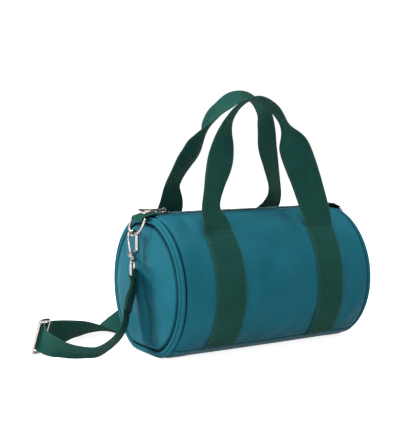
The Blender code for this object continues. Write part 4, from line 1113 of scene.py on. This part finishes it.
def make_end(name, side):
    """The round end: a soft crowned cloth that dips into the seam beside the piping, where its
    colour carries a painted shade.
    """
    sides, rings = 192, 44
    shares = [1.0, 0.99, 0.975, 0.955, 0.93] + spread(0.91, 0.02, rings)
    grids = ([], [])
    for layer, grid in enumerate(grids):
        for share in shares:
            row = []
            for k in range(sides + 1):
                turn = tau * (k % sides) / sides
                rim = ring_point(side, turn, END_RIM_INSET, CORD_OUT)
                y = rim.y * share
                z = CENTRE_HEIGHT + (rim.z - CENTRE_HEIGHT) * share
                bow = END_RIM_OUT + END_CROWN * (1 - share ** END_CROWN_POWER)
                edge = (1 - share) * END_HALF_WIDTH / MM
                bow -= END_RIM_SINK * exp(-(edge / END_RIM_WIDTH) ** 3)
                bow += pucker(END_CLOTH_PUCKER, turn * END_HALF_WIDTH / MM, 50 + side, edge)
                bow += crease(side, y / MM, z / MM) * ease(edge / CREASE_FADE) * MM
                wave = noise.noise(Vector((y / MM / END_WAVE_SIZE[0], z / MM / END_WAVE_SIZE[1],
                                           8 + side)))
                bow += END_WAVE * wave * ease(edge / END_WAVE_FADE)
                row.append(Vector((side * (RING_X + bow - layer * PANEL_THICKNESS), y, z)))
            grid.append(row)
    made = closed_disc("end_cloth_" + name, grids, sides, satin)
    # Painted shade: for each point, how far the satin's colour darkens in the recess beside the
    # piping.
    painted_shade_amounts = []
    for share in shares:
        edge = (1 - share) * END_HALF_WIDTH / MM
        painted_shade_amounts += [exp(-((edge - END_PAINTED_SHADE_MIDDLE) / END_PAINTED_SHADE_WIDTH) ** 2)] * sides
    painted_seam_shade = made.data.attributes.new("painted_seam_shade", "FLOAT", "POINT")
    painted_seam_shade.data.foreach_set("value", (painted_shade_amounts + [0.0]) * 2)
    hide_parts("end_panel_" + name)
    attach(made, "bag")


def closed_disc(name, grids, sides, finish):
    """Two round sheets of rings, closed in the middle and joined at the rim."""
    points, faces, spots = [], [], []
    per_sheet = len(grids[0]) * sides + 1
    for layer, grid in enumerate(grids):
        base = layer * per_sheet
        for row in grid:
            points += row[:sides]
        last = grid[-1][:sides]
        points.append(sum(last, Vector()) / sides)
        for ring in range(len(grid) - 1):
            for k in range(sides):
                here = base + ring * sides + k
                after = base + ring * sides + (k + 1) % sides
                faces.append((here, after, after + sides, here + sides))
        low = base + (len(grid) - 1) * sides
        faces += [(low + k, low + (k + 1) % sides, base + per_sheet - 1) for k in range(sides)]
    faces += [(k, (k + 1) % sides, per_sheet + (k + 1) % sides, per_sheet + k)
              for k in range(sides)]
    spots = [(point.y, point.z) for point in points]
    return make_body(name, points, faces, finish, spots)


# Zip

def tape_point(side, x, y, drop):
    """A point of a tape, y from the zip's middle; the tape waves a little near its panel."""
    wave = TAPE_WAVE * ripple(x / MM, 60 + side) * ease((y - TAPE_WAVE_START) / TAPE_WAVE_FADE)
    return Vector((x, side * y, wall(x, turn_at(y)).z - drop + wave))


def make_zip():
    end = PANEL_END - TAPE_END_ROOM
    columns = spread(-end, end, 150)
    across = spread(TEETH_INNER + TAPE_SET_BACK, TAPE_OUTER + TAPE_TUCK, 12)
    for name, side in (("front", -1), ("back", 1)):
        grids = [[[tape_point(side, x, y, drop) for y in across] for x in columns]
                 for drop in (TAPE_DROP, TAPE_DROP + TAPE_THICKNESS)]
        spots = [(x, y) for x in columns for y in across]
        tape = shell("tape_" + name, grids[0], grids[1], tape_cloth, spots)
        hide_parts("zip_tape_" + name)
        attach(tape, "bag")
        middle = side * (TEETH_INNER + TOOTH_ROW_WIDTH / 2)
        phase = COIL_PITCH / 2 if side > 0 else 0.0
        height = TEETH_TOP + COIL_LIFT - COIL_RADIUS
        line = [(Vector((x + phase, middle, height)), Vector((0, 0, 1)))
                for x in spread(-ZIP_LENGTH / 2, ZIP_LENGTH / 2 - COIL_PITCH, 40)]
        teeth = grain_row("coil_" + name, [line], coil_nylon, Pitch=COIL_PITCH, Turn=pi / 2,
                          Length=TOOTH_ROW_WIDTH + COIL_OVERLAP, Radius=COIL_RADIUS)
        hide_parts("zip_teeth_" + name)
        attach(teeth, "bag")
    for node in ("zip_top_stop", "zip_bottom_stop"):
        stop = refined(node, nickel, STOP_BEVEL)
        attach(stop, "bag")
    for node in ("zip_slider", "zip_pull"):
        piece = refined(node, nickel, SLIDER_BEVEL)
        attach(piece, node)


# Webbing

def cross_section(width, thickness):
    """Places round a flat strip with round edges: shares across, and of half the thickness."""
    half, radius = width / 2, thickness / 2
    top = []
    for k in range(1, 4):
        angle = pi / 2 * k / 3
        top.append(((half - radius + radius * cos(angle)) / half, sin(angle)))
    flat = (half - radius) / half
    inner = [(flat * share, 1.0) for share in (0.85, 0.6, 0.3, 0.0)]
    right = [(1.0, 0.0)] + top + inner[:-1]
    upper = right + [inner[-1]] + [(-a, t) for a, t in reversed(right)]
    lower = [(-a, -t) for a, t in right[1:]] + [(0.0, -1.0)]
    lower += [(a, -t) for a, t in reversed(right[1:])]
    return upper + lower


def spot(station, offset, width, out=0.0):
    """A place on a strip, this far across from its middle and this far out of its face."""
    middle, across, face, cup = station
    a = offset / (width / 2)
    return middle + across * offset + face * (out + cup * (a * a - CUP_MIDDLE))


def strip(name, stations, width, thickness, finish):
    """Flat webbing; a station is its middle, the ways across and out, and how far its edges cup."""
    ring = cross_section(width, thickness)
    sections, spots = [], []
    run = 0.0
    for k, station in enumerate(stations):
        if k:
            run += (station[0] - stations[k - 1][0]).length
        sections.append([spot(station, a * width / 2, width, t * thickness / 2) for a, t in ring])
        spots += [(a * width / 2, run) for a, _ in ring]
    return loft(name, sections, finish, spots=spots)


def framed(path, edges, cups=None):
    """Stations for a strip from its path and the way that one edge points."""
    found = []
    for point, edge, along, cup in zip(path, edges, tangents(path), cups or [0.0] * len(path)):
        across = (edge - along * edge.dot(along)).normalized()
        found.append((point, across, along.cross(across), cup))
    return found


def eased(values, rounds):
    """Even out a list of vectors, leaving its ends."""
    for _ in range(rounds):
        middle = [(a + b * 2 + c) / 4 for a, b, c in zip(values, values[1:], values[2:])]
        values = [values[0], *middle, values[-1]]
    return values


def on_face(station, offset, width, thickness, side):
    """A place on a strip's face, or on its back for side -1, and the way out of it."""
    return spot(station, offset, width, side * thickness / 2), station[2] * side


def edge_lines(stations, width, thickness, sides=(1, -1)):
    """Lines along both edges of a strip, on its face and its back."""
    margin = width / 2 - EDGE_MARGIN
    return [[on_face(station, offset, width, thickness, side) for station in stations]
            for side in sides for offset in (-margin, margin)]


def cross_lines(stations, width, thickness, runs, sides=(1, -1)):
    """Lines across a strip at distances along it."""
    lines = []
    run = 0.0
    wanted = sorted(runs)
    for k in range(1, len(stations)):
        station = stations[k]
        run += (station[0] - stations[k - 1][0]).length
        while wanted and run >= wanted[0]:
            wanted.pop(0)
            for side in sides:
                lines.append([on_face(station, offset, width, thickness, side) for offset
                              in spread(EDGE_MARGIN - width / 2, width / 2 - EDGE_MARGIN, 9)])
    return lines


def length_of(stations):
    return sum((b[0] - a[0]).length for a, b in zip(stations, stations[1:]))


def handle_root(side):
    clear = SEAM_GAP + WEBBING_THICKNESS / 2
    point = wall(HANDLE_CENTRE_X - HANDLE_WIDTH / 2, side * HANDLE_STITCH_TURN, clear)
    return point.y, point.z


def tail_stations(side, along, root, root_edge, bow):
    """Places and edges up the wall, from the base seam to the handle's root."""
    stations = []
    centre = along * HANDLE_CENTRE_X
    clear = SEAM_GAP + WEBBING_THICKNESS / 2
    turns = spread(HANDLE_FOOT_TURN, HANDLE_STITCH_TURN, TAIL_STEPS)
    sign = 1 if root_edge.x > 0 else -1
    half = HANDLE_WIDTH / 2
    for turn in turns:
        way = pi * (turn - HANDLE_FOOT_TURN) / (HANDLE_STITCH_TURN - HANDLE_FOOT_TURN)
        place = centre + bow * sin(way)
        lift = max(sculpt(place + share * half, side * turn) for share in TAIL_FEELERS)
        low, high = (wall(place + s * half, side * turn, clear + lift) for s in (-1, 1))
        stations.append([(low + high) / 2, (high - low).normalized() * sign])
    shift = root - stations[-1][0]
    for station, turn in zip(stations, turns):
        share = ease(1 - (HANDLE_STITCH_TURN - turn) * END_HALF_WIDTH / TAIL_SETTLE)
        station[0] = station[0] + shift * share
        station[1] = station[1].lerp(root_edge, share)
    return stations


def make_handle(name, side, route, end_heading, curls, bows):
    """One length of webbing: sewn up one side of the panel, over as the handle, and down again.

    end_heading is the way its edge points when it comes down again, bows are how far the left
    and right sewn parts bow along X, and curls is a list along X.
    """
    body = name + "_handle"
    root_y, root_z = handle_root(side)
    rise_y, rise_z = root_y - side * HANDLE_RISE_LEAN, root_z + HANDLE_RISE
    places = [(-HANDLE_CENTRE_X, root_y, root_z, 180, 0),
              (-HANDLE_CENTRE_X, rise_y, rise_z, 186, 0)]
    places += [(x * MM, y * MM, z * MM, heading, lean) for x, y, z, heading, lean in route]
    turned_foot = end_heading + (route[-1][3] - end_heading) * HANDLE_FOOT_TWIST
    places += [(HANDLE_CENTRE_X, rise_y, rise_z, turned_foot, 0),
               (HANDLE_CENTRE_X, root_y, root_z, end_heading, 0)]
    scaled = [(x, y, z, radians(heading), radians(lean)) for x, y, z, heading, lean in places]
    samples = smooth_samples(scaled, HANDLE_STEP)
    path = eased([Vector(sample[:3]) for sample in samples], 6)
    edges = eased([Vector((cos(heading) * cos(lean), sin(heading) * cos(lean), sin(lean)))
                   for *_, heading, lean in samples], 6)
    up = tail_stations(side, -1, path[0], edges[0], bows[0])
    down = tail_stations(side, 1, path[-1], edges[-1], bows[1])[::-1]
    middles = eased([place for place, _ in up] + path[2:-2] + [place for place, _ in down], 2)
    across = eased([edge for _, edge in up] + edges[2:-2] + [edge for _, edge in down], 4)
    free = [ease((point.z - root_z) / HANDLE_CURL_RISE) for point in middles]
    cups = [along_list(curls, point.x / MM) * share * MM for point, share in zip(middles, free)]
    stations = framed(middles, across, cups)
    webbing = strip(name + "_webbing", stations, HANDLE_WIDTH, WEBBING_THICKNESS, handle_webbing)
    tails = ["handle_tail_" + name + "_left", "handle_tail_" + name + "_right"]
    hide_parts(body, *tails)
    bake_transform(webbing)
    lines = edge_lines(stations, HANDLE_WIDTH, WEBBING_THICKNESS)
    tail = length_of(up)
    lines += cross_lines(stations, HANDLE_WIDTH, WEBBING_THICKNESS,
                         (tail, length_of(stations) - tail))
    thread = webbing_stitches(name + "_handle_stitches", lines, STITCH_PITCH, STITCH_LENGTH)
    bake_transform(thread)


def make_tab(name, side):
    """A loop of webbing over the zip's end, folded round the D-ring's bar."""
    fold = RING_WIRE_RADIUS + SEAM_GAP + TAB_THICKNESS / 2
    over = TOP + SEAM_GAP + TAB_THICKNESS / 2
    dip = over - CORD_DIP
    puff = TAB_PUFF if side > 0 else TAB_PUFF_LEFT * TAB_PUFF
    path = [(RING_X - TAB_REACH, over), (RING_X - 8 * MM, over),
            (PANEL_END, over - 0.3 * MM + 0.6 * puff), (RING_X, dip + 0.4 * MM + puff),
            (RING_X + 3 * MM, dip + puff)]
    start = atan2(1, 0.5)
    for k in range(17):
        angle = start - (start + pi / 2) * k / 16
        path.append((RING_BAR_X + fold * cos(angle), RING_BAR_HEIGHT + fold * sin(angle)))
    path.append((RING_BAR_X - TAB_TAIL, RING_BAR_HEIGHT - fold))
    samples = smooth_samples([(side * x, 0, z) for x, z in path], TAB_STEP)
    points = [Vector(sample) for sample in samples]
    stations = framed(points, [Vector((0, side, 0))] * len(points))
    made = strip("tab_" + name, stations, TAB_WIDTH, TAB_THICKNESS, tab_webbing)
    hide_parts("dring_tab_" + name)
    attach(made, "bag")
    lines = cross_lines(stations, TAB_WIDTH, TAB_THICKNESS, TAB_STITCH_RUNS, sides=(1,))
    near = [s for s in stations if abs(s[0].x) < RING_X - TAB_STITCH_END]
    lines += edge_lines(near, TAB_WIDTH, TAB_THICKNESS, sides=(1,))
    thread = webbing_stitches("tab_stitches_" + name, lines)
    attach(thread, "bag")


# Metal fittings

def outward(side, out, z, y=0.0):
    return Vector((side * out, y, z))


def make_dring(word, side):
    power = 2 / RING_ROUNDNESS
    flat = []
    for k in range(RING_STEPS + 1):
        angle = pi * k / RING_STEPS
        flat.append((RING_HALF_WIDTH * abs(cos(angle)) ** power * (1 if angle < pi / 2 else -1),
                     RING_DEPTH * sin(angle) ** power))
    corner = RING_HALF_WIDTH - RING_CORNER
    flat[0] = (corner, 0)
    flat[-1] = (-corner, 0)
    flat += [(x, 0) for x in spread(-corner, corner, 12)[1:-1]]
    bar = outward(side, RING_BAR_X, RING_BAR_HEIGHT)
    down = Vector((side * RING_DOWN.x, 0, RING_DOWN.z))
    path = [bar + Vector((0, across, 0)) + down * depth for across, depth in flat]
    made = wire("ring_" + word, path, [RING_WIRE_RADIUS] * len(path),
                Vector((0, 1, 0)).cross(down), nickel, loop=True)
    finish_metal(made, word + "_dring", word + "_ring")


def finish_metal(made, node, body):
    made.data.shade_smooth()
    made.data.set_sharp_from_angle(angle=radians(45))
    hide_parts(node)
    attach(made, body)


def lug_block(name, side, x, outline, half):
    """A block of this half width along Y; its outline goes out from x and up from the pivot."""
    return loft(name, [[outward(side, x + out, GATE_PIVOT_Z + up, y) for out, up in outline]
                       for y in (-half, half)], nickel)


def make_stem(side):
    """The collar, the pin through the eye's boss and the pin's riveted head."""
    head_top = BOSS_BOTTOM - SEAM_GAP
    head_bottom = head_top - STEM_HEAD_HEIGHT
    middle = COLLAR_BOTTOM + COLLAR_HEIGHT / 2
    profile = [(COLLAR_TOP + STEM_ROOT, STEM_RADIUS), (COLLAR_TOP, COLLAR_RADIUS - COLLAR_BEVEL),
               (COLLAR_TOP - COLLAR_BEVEL, COLLAR_RADIUS), (middle + COLLAR_GROOVE, COLLAR_RADIUS),
               (middle, COLLAR_RADIUS - COLLAR_GROOVE), (middle - COLLAR_GROOVE, COLLAR_RADIUS),
               (COLLAR_BOTTOM + COLLAR_BEVEL, COLLAR_RADIUS),
               (COLLAR_BOTTOM, COLLAR_RADIUS - COLLAR_BEVEL),
               (COLLAR_BOTTOM - STEP_HEIGHT, STEM_RADIUS), (head_top, STEM_RADIUS),
               (head_top - STEP_HEIGHT, STEM_HEAD_RADIUS),
               (head_bottom + STEM_HEAD_CROWN[0], STEM_HEAD_RADIUS),
               (head_bottom, STEM_HEAD_RADIUS - STEM_HEAD_CROWN[1])]
    return turned("stem", outward(side, HOOK_X, 0), (0, 0, 1), profile, nickel)


def make_rivet(side):
    """The gate's pin, with a low head on each side of the lug."""
    half = LUG_WIDTH / 2 + RIVET_PROUD
    crown, head, shank = RIVET_RADII
    low = [(-half, crown), (RIVET_CROWN - half, head), (RIVET_HEAD - half, head),
           (RIVET_HEAD - half, shank)]
    return turned("rivet", outward(side, GATE_PIVOT_X, GATE_PIVOT_Z), (0, 1, 0), mirrored(low),
                  nickel, 16)


def make_hook(word, side):
    """A hook bent from one bar, with a slotted lug for its gate and a stem in the strap's eye."""
    flat = []
    for k in range(25):
        angle = pi * k / 24
        flat.append((HOOK_HALF_WIDTH * cos(angle), HOOK_ARC_Z + HOOK_HALF_WIDTH * sin(angle),
                     HOOK_WIRE_RADIUS))
    spine_foot = HOOK_ARC_Z - HOOK_SPINE_LENGTH
    flat += [(-HOOK_HALF_WIDTH, z, HOOK_WIRE_RADIUS)
             for z in spread(HOOK_ARC_Z - 1 * MM, spine_foot, 6)]
    for k in range(1, 13):
        t = k / 13
        flat.append((-HOOK_HALF_WIDTH * (1 - ease(t)), spine_foot - HOOK_TURN_LENGTH * t,
                     HOOK_WIRE_RADIUS + HOOK_FOOT_SWELL * t))
    path = [outward(side, HOOK_X + out, z) for out, z, _ in flat]
    hook = wire("hook_" + word, path, [radius for *_, radius in flat], (0, 1, 0), nickel)
    stem = make_stem(side)
    block = lug_block("lug", side, GATE_PIVOT_X - LUG_SET_BACK,
                      [(x * MM, z * MM) for x, z in LUG_OUTLINE], LUG_WIDTH / 2)
    bevelled(block, LUG_BEVEL)
    reach = GATE_KNUCKLE_RADIUS + LOOSE_GAP
    notch = [(-reach, -reach), (2 * reach, -reach), (2 * reach, 3 * reach), (-reach, 3 * reach)]
    space = lug_block("space", side, GATE_PIVOT_X, notch, GATE_KNUCKLE_WIDTH / 2 + SEAM_GAP)
    rivet = make_rivet(side)
    joined(hook, [stem, block])
    joined(hook, [space], "DIFFERENCE")
    joined(hook, [rivet])
    finish_metal(hook, word + "_hook", word + "_hook")


def make_gate(word, side):
    pivot = outward(side, GATE_PIVOT_X, GATE_PIVOT_Z)
    tip = outward(side, HOOK_X + HOOK_HALF_WIDTH, HOOK_ARC_Z - GATE_TIP_GAP)
    path = [pivot.lerp(tip, t) for t in (0, 0.08, 0.15, 0.22, 0.3, 0.86, 0.88, 0.9, 0.97, 1.0)]
    slim, full = GATE_FOOT_RADIUS, GATE_RADIUS
    radii = [slim, slim, slim, full * 0.93, full, full, full * 0.86, full, full, full * 0.8]
    gate = wire("gate_" + word, path, radii, (0, 1, 0), nickel)
    half = GATE_KNUCKLE_WIDTH / 2
    low = [(-half, GATE_KNUCKLE_EDGE_RADIUS), (GATE_KNUCKLE_BEVEL - half, GATE_KNUCKLE_RADIUS)]
    knuckle = turned("knuckle", pivot, (0, 1, 0), mirrored(low), nickel)
    bore = turned("bore", pivot, (0, 1, 0), mirrored([(-2 * half, GATE_BORE_RADIUS)]), nickel, 16)
    joined(gate, [knuckle])
    joined(gate, [bore], "DIFFERENCE")
    finish_metal(gate, word + "_gate", word + "_gate")


def eye_axis(side):
    return Vector((-side * sin(EYE_TURN), cos(EYE_TURN), 0))


def rounded_rectangle(half_x, half_y, corner, steps):
    outline = []
    for number, (sx, sy) in enumerate(((1, 1), (-1, 1), (-1, -1), (1, -1))):
        for k in range(steps + 1):
            angle = pi / 2 * (number + k / steps)
            outline.append((sx * (half_x - corner) + corner * cos(angle),
                            sy * (half_y - corner) + corner * sin(angle)))
    return outline


def make_eye(word, side):
    across = eye_axis(side)
    half_width = EYE_INNER_WIDTH / 2 + EYE_WIRE_RADIUS
    outline = rounded_rectangle(half_width, EYE_PITCH / 2, EYE_CORNER, 8)
    centre = outward(side, HOOK_X, (EYE_TOP_Z + EYE_BOTTOM_Z) / 2)
    path = [centre + across * a + Vector((0, 0, z)) for a, z in outline]
    eye = wire("eye_" + word, path, [EYE_WIRE_RADIUS] * len(path),
               across.cross(Vector((0, 0, 1))), nickel, loop=True)
    middle = outward(side, HOOK_X, EYE_TOP_Z)
    half = BOSS_HEIGHT / 2
    low = [(-half, BOSS_RADIUS - BOSS_BEVEL), (BOSS_BEVEL - half, BOSS_RADIUS)]
    boss = turned("boss", middle, (0, 0, 1), mirrored(low), nickel)
    bore = turned("bore", middle, (0, 0, 1), mirrored([(-2 * half, STEM_RADIUS + SEAM_GAP)]),
                  nickel, 20)
    joined(eye, [boss])
    joined(eye, [bore], "DIFFERENCE")
    finish_metal(eye, word + "_swivel_eye", word + "_ring")


# Shoulder strap

def glide_axes():
    short = GLIDE_SHORT.normalized()
    long = (GLIDE_LONG - short * GLIDE_LONG.dot(short)).normalized()
    return short, long, short.cross(long)


def glide_place(along, out):
    short, _, face = glide_axes()
    return GLIDE_CENTRE + short * along + face * out


def strap_through_slider():
    back = -(GLIDE_BAR / 2 + GLIDE_BACK_GAP + WEBBING_THICKNESS / 2)
    slot = -GLIDE_BAR_PITCH / 2 + GLIDE_SLOT_SHIFT
    bend = GLIDE_BEND
    path = [glide_place(slot, GLIDE_LEAD), glide_place(slot, GLIDE_LEAD / 2),
            glide_place(slot, back + bend)]
    for k in range(1, 5):
        angle = pi / 2 * k / 4
        path.append(glide_place(slot + bend - bend * cos(angle), back + bend - bend * sin(angle)))
    path.append(glide_place(GLIDE_BAR_PITCH / 2, back))
    path.append(glide_place(GLIDE_BAR_PITCH + GLIDE_BAR, back))
    return path


def over_eye(side, face, across):
    """Stations over the eye's lower bar, from the side that face points to, to the other."""
    fold = EYE_WIRE_RADIUS + SEAM_GAP + WEBBING_THICKNESS / 2
    foot = STRAP_LAYER_OFFSET
    flat = [(foot, STRAP_END_Z + 0.5 * MM), (foot + 0.1 * MM, STRAP_END_Z + 1.5 * MM)]
    flat += [(fold * cos(pi * k / 16), EYE_BOTTOM_Z + fold * sin(pi * k / 16)) for k in range(17)]
    flat += [(-foot - 0.1 * MM, STRAP_END_Z + 1.5 * MM), (-foot, STRAP_END_Z + 0.5 * MM)]
    return [(outward(side, HOOK_X, z) + face * out, across) for out, z in flat]


def layer(stations, offset):
    """The path and edges of one of two layers, beside the middle of both."""
    return [(middle + face * offset, across) for middle, across, face, *_ in stations]


def strap_stations(places, step):
    """Stations along places that list a point and the way of one edge."""
    samples = smooth_samples(places, step)
    return framed([Vector(s[:3]) for s in samples], eased([Vector(s[3:6]) for s in samples], 4))


def make_front_strap():
    """From its sewn end, over the left eye, down to the floor and into the slider."""
    across = eye_axis(-1)
    _, long, _ = glide_axes()
    places = [(-HOOK_X, 0, z, *across) for z in (STRAP_START_Z, STRAP_START_Z - STRAP_HANG)]
    places += [(x * MM, y * MM, z * MM, *edge) for x, y, z, *edge in FRONT_STRAP_ROUTE]
    places += [(*point, *(-long)) for point in strap_through_slider()]
    stations = strap_stations(places, FRONT_STRAP_STEP)
    runs = [0.0]
    for a, b in zip(stations, stations[1:]):
        runs.append(runs[-1] + (b[0] - a[0]).length)
    lap = [s for s, run in zip(stations, runs) if run < STRAP_LAP]
    face = stations[0][2]
    main = []
    for (middle, edge, out, *_), run in zip(stations, runs):
        beside = 1 - ease((run - STRAP_LAP) / STRAP_LAP_FADE)
        main.append((middle - out * STRAP_LAYER_OFFSET * beside, edge))
    route = layer(lap, STRAP_LAYER_OFFSET)[::-1] + over_eye(-1, face, across) + main
    made_stations = framed(*zip(*route))
    made = strip("front_strap", made_stations, STRAP_WIDTH, WEBBING_THICKNESS, strap_webbing)
    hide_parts("strap_front_run", "left_strap_end")
    strap_blend(made)
    lines = cross_lines(made_stations, STRAP_WIDTH, WEBBING_THICKNESS, FRONT_STRAP_STITCH_RUNS)
    thread = webbing_stitches("front_strap_stitches", lines)
    strap_blend(thread)


def strap_blend(piece):
    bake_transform(piece)


def make_back_strap():
    """Both layers from the slider, along the floor behind the bag and up over the right eye."""
    _, long, _ = glide_axes()
    through = strap_through_slider()
    onward = (through[-1] - through[-2]).normalized()
    across = -eye_axis(1)
    places = [(*(through[-1] + onward * step), *long) for step in (SEAM_GAP, STRAP_HANG)]
    places += [(x * MM, y * MM, z * MM, *edge) for x, y, z, *edge in BACK_STRAP_ROUTE]
    places += [(HOOK_X, 0, z, *across) for z in (STRAP_START_Z - STRAP_HANG, STRAP_START_Z)]
    stations = strap_stations(places, BACK_STRAP_STEP)
    face = stations[-1][2]
    route = layer(stations, STRAP_LAYER_OFFSET) + over_eye(1, face, across)
    route += layer(stations, -STRAP_LAYER_OFFSET)[::-1]
    made_stations = framed(*zip(*route))
    made = strip("back_strap", made_stations, STRAP_WIDTH, WEBBING_THICKNESS, strap_webbing)
    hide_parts("strap_back_run", "right_strap_end")
    strap_blend(made)
    total = length_of(made_stations)
    runs = [*BACK_STRAP_STITCH_RUNS, *(total - run for run in BACK_STRAP_STITCH_RUNS)]
    lines = cross_lines(made_stations, STRAP_WIDTH, WEBBING_THICKNESS, runs, sides=(1,))
    thread = webbing_stitches("back_strap_stitches", lines)
    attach(thread, "bag")


def make_strap_slider():
    """A rounded frame with a middle bar, cast in one."""
    short, long, face = glide_axes()
    half_long = GLIDE_LENGTH / 2 - GLIDE_WIRE_RADIUS
    outline = rounded_rectangle(GLIDE_BAR_PITCH, half_long, GLIDE_CORNER, 6)
    path = [GLIDE_CENTRE + short * x + long * y for x, y in outline]
    made = wire("strap_glide", path, [GLIDE_WIRE_RADIUS] * len(path), face, nickel, loop=True)
    ends = [GLIDE_CENTRE + long * y for y in spread(-half_long, half_long, 5)]
    bar = wire("middle_bar", ends, [GLIDE_MIDDLE_RADIUS] * 5, face, nickel, sides=16)
    joined(made, [bar])
    finish_metal(made, "strap_slider", "bag")


def finish_board():
    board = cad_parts["base_board"]
    board.data.materials.clear()
    board.data.materials.append(board_finish)


# Studio

STUDIO_CENTRE = (0, 0, 0.12)
LAMPS = (                       # place in metres, size in metres and power
    ("key", (-1.55, 0.80, 1.0), 0.8, 41), ("top", (0.0, -0.1, 1.8), 0.9, 27),
    ("front", (-1.3, -1.4, 0.5), 1.3, 17),
)
FLOOR_SIZE = 6.0
FLOOR_DROP = 0.2 * MM
FLOOR_COLOUR = (0.70, 0.70, 0.70, 1)
FLOOR_GLOW = 0.86
WORLD_LIGHT = 0.40


def square(size):
    half = size / 2
    return [Vector(corner) for corner in ((-half, -half, 0), (half, -half, 0), (half, half, 0),
                                          (-half, half, 0))]


def make_floor():
    mesh = bpy.data.meshes.new("floor")
    mesh.from_pydata(square(FLOOR_SIZE), [], [(0, 1, 2, 3)])
    floor = bpy.data.objects.new("floor", mesh)
    floor.location.z = -FLOOR_DROP
    bpy.context.scene.collection.objects.link(floor)
    material = bpy.data.materials.new("floor")
    material.use_nodes = True
    tree = material.node_tree
    shader = tree.nodes["Principled BSDF"]
    shader.inputs["Base Color"].default_value = FLOOR_COLOUR
    shader.inputs["Roughness"].default_value = 0.9
    shader.inputs["Specular IOR Level"].default_value = 0.0
    glow = add(tree, "ShaderNodeEmission", {"Color": (1, 1, 1, 1), "Strength": FLOOR_GLOW})
    rays = add(tree, "ShaderNodeLightPath").outputs
    seen = calc(tree, "MAXIMUM", rays["Is Camera Ray"], rays["Is Glossy Ray"])
    lit = add(tree, "ShaderNodeAddShader", {0: shader.outputs[0], 1: glow.outputs[0]}).outputs[0]
    chosen = add(tree, "ShaderNodeMixShader", {0: seen, 1: shader.outputs[0], 2: lit}).outputs[0]
    tree.links.new(chosen, tree.nodes["Material Output"].inputs["Surface"])
    mesh.materials.append(material)


def make_world():
    world = bpy.data.worlds.new("studio")
    world.use_nodes = True
    tree = world.node_tree
    back = tree.nodes["Background"]
    rays = add(tree, "ShaderNodeLightPath").outputs
    seen = calc(tree, "MAXIMUM", rays["Is Camera Ray"],
                calc(tree, "MAXIMUM", rays["Is Glossy Ray"], rays["Is Transmission Ray"]))
    strength = add(tree, "ShaderNodeMapRange", {"Value": seen, "To Min": WORLD_LIGHT,
                                                "To Max": 1.0})
    tree.links.new(strength.outputs["Result"], back.inputs["Strength"])
    back.inputs["Color"].default_value = (1, 1, 1, 1)
    bpy.context.scene.world = world


def make_lamp(name, place, size, power):
    lamp = bpy.data.lights.new(name, "AREA")
    lamp.size = size
    lamp.energy = power
    made = bpy.data.objects.new(name, lamp)
    made.location = place
    made.rotation_mode = "QUATERNION"
    made.rotation_quaternion = (Vector(STUDIO_CENTRE) - Vector(place)).to_track_quat("-Z", "Y")
    bpy.context.scene.collection.objects.link(made)


# Dark cards that only the metal's reflections show: place in metres and size.
REFLECTION_CARDS = (
    ("far_card", (0.8, 1.3, 0.7), 2.2), ("back_card", (-1.3, 1.1, 0.6), 1.3),
    ("right_card", (0.6, -1.6, 0.5), 1.2), ("left_card", (-1.7, 0.5, 0.3), 1.1),
    ("high_card", (-0.6, -0.9, 1.7), 0.6),
)
CARD_COLOUR = (0.02, 0.02, 0.022, 1)


def make_card(name, place, size):
    place = Vector(place)
    facing = (Vector(STUDIO_CENTRE) - place).to_track_quat("Z", "Y")
    mesh = bpy.data.meshes.new(name)
    mesh.from_pydata([place + facing @ corner for corner in square(size)], [], [(0, 1, 2, 3)])
    card = bpy.data.objects.new(name, mesh)
    bpy.context.scene.collection.objects.link(card)
    material = bpy.data.materials.new(name)
    material.use_nodes = True
    shader = material.node_tree.nodes["Principled BSDF"]
    shader.inputs["Base Color"].default_value = CARD_COLOUR
    mesh.materials.append(material)
    card.visible_camera = False
    card.visible_diffuse = False
    card.visible_shadow = False
    card.visible_transmission = False


def make_camera():
    data = bpy.data.cameras.new("camera")
    data.sensor_width = SENSOR
    data.lens = FOCAL_PIXELS * SENSOR / PHOTO_HEIGHT
    camera = bpy.data.objects.new("camera", data)
    away = Vector((sin(CAMERA_AZIMUTH) * cos(CAMERA_ELEVATION),
                   -cos(CAMERA_AZIMUTH) * cos(CAMERA_ELEVATION), sin(CAMERA_ELEVATION)))
    camera.location = CAMERA_TARGET + away * CAMERA_DISTANCE
    camera.rotation_mode = "QUATERNION"
    camera.rotation_quaternion = (-away).to_track_quat("-Z", "Y")
    bpy.context.scene.collection.objects.link(camera)
    bpy.context.scene.camera = camera


def make_studio():
    bpy.context.scene.view_settings.view_transform = "Standard"
    make_floor()
    make_world()
    for lamp in LAMPS:
        make_lamp(*lamp)
    for card in REFLECTION_CARDS:
        make_card(*card)
    make_camera()


make_studio()
make_barrel()
make_lining()
make_zip()
for word, side in (("left", -1), ("right", 1)):
    make_end(word, side)
    make_piping(word, side)
    make_tab(word, side)
    make_dring(word, side)
    make_hook(word, side)
    make_gate(word, side)
    make_eye(word, side)
make_handle("front", -1, FRONT_HANDLE_ROUTE, 360, FRONT_HANDLE_CURLS, FRONT_TAIL_BOWS)
make_handle("back", 1, BACK_HANDLE_ROUTE, 180, BACK_HANDLE_CURLS, (0.0, 0.0))
make_front_strap()
make_back_strap()
make_strap_slider()
finish_board()
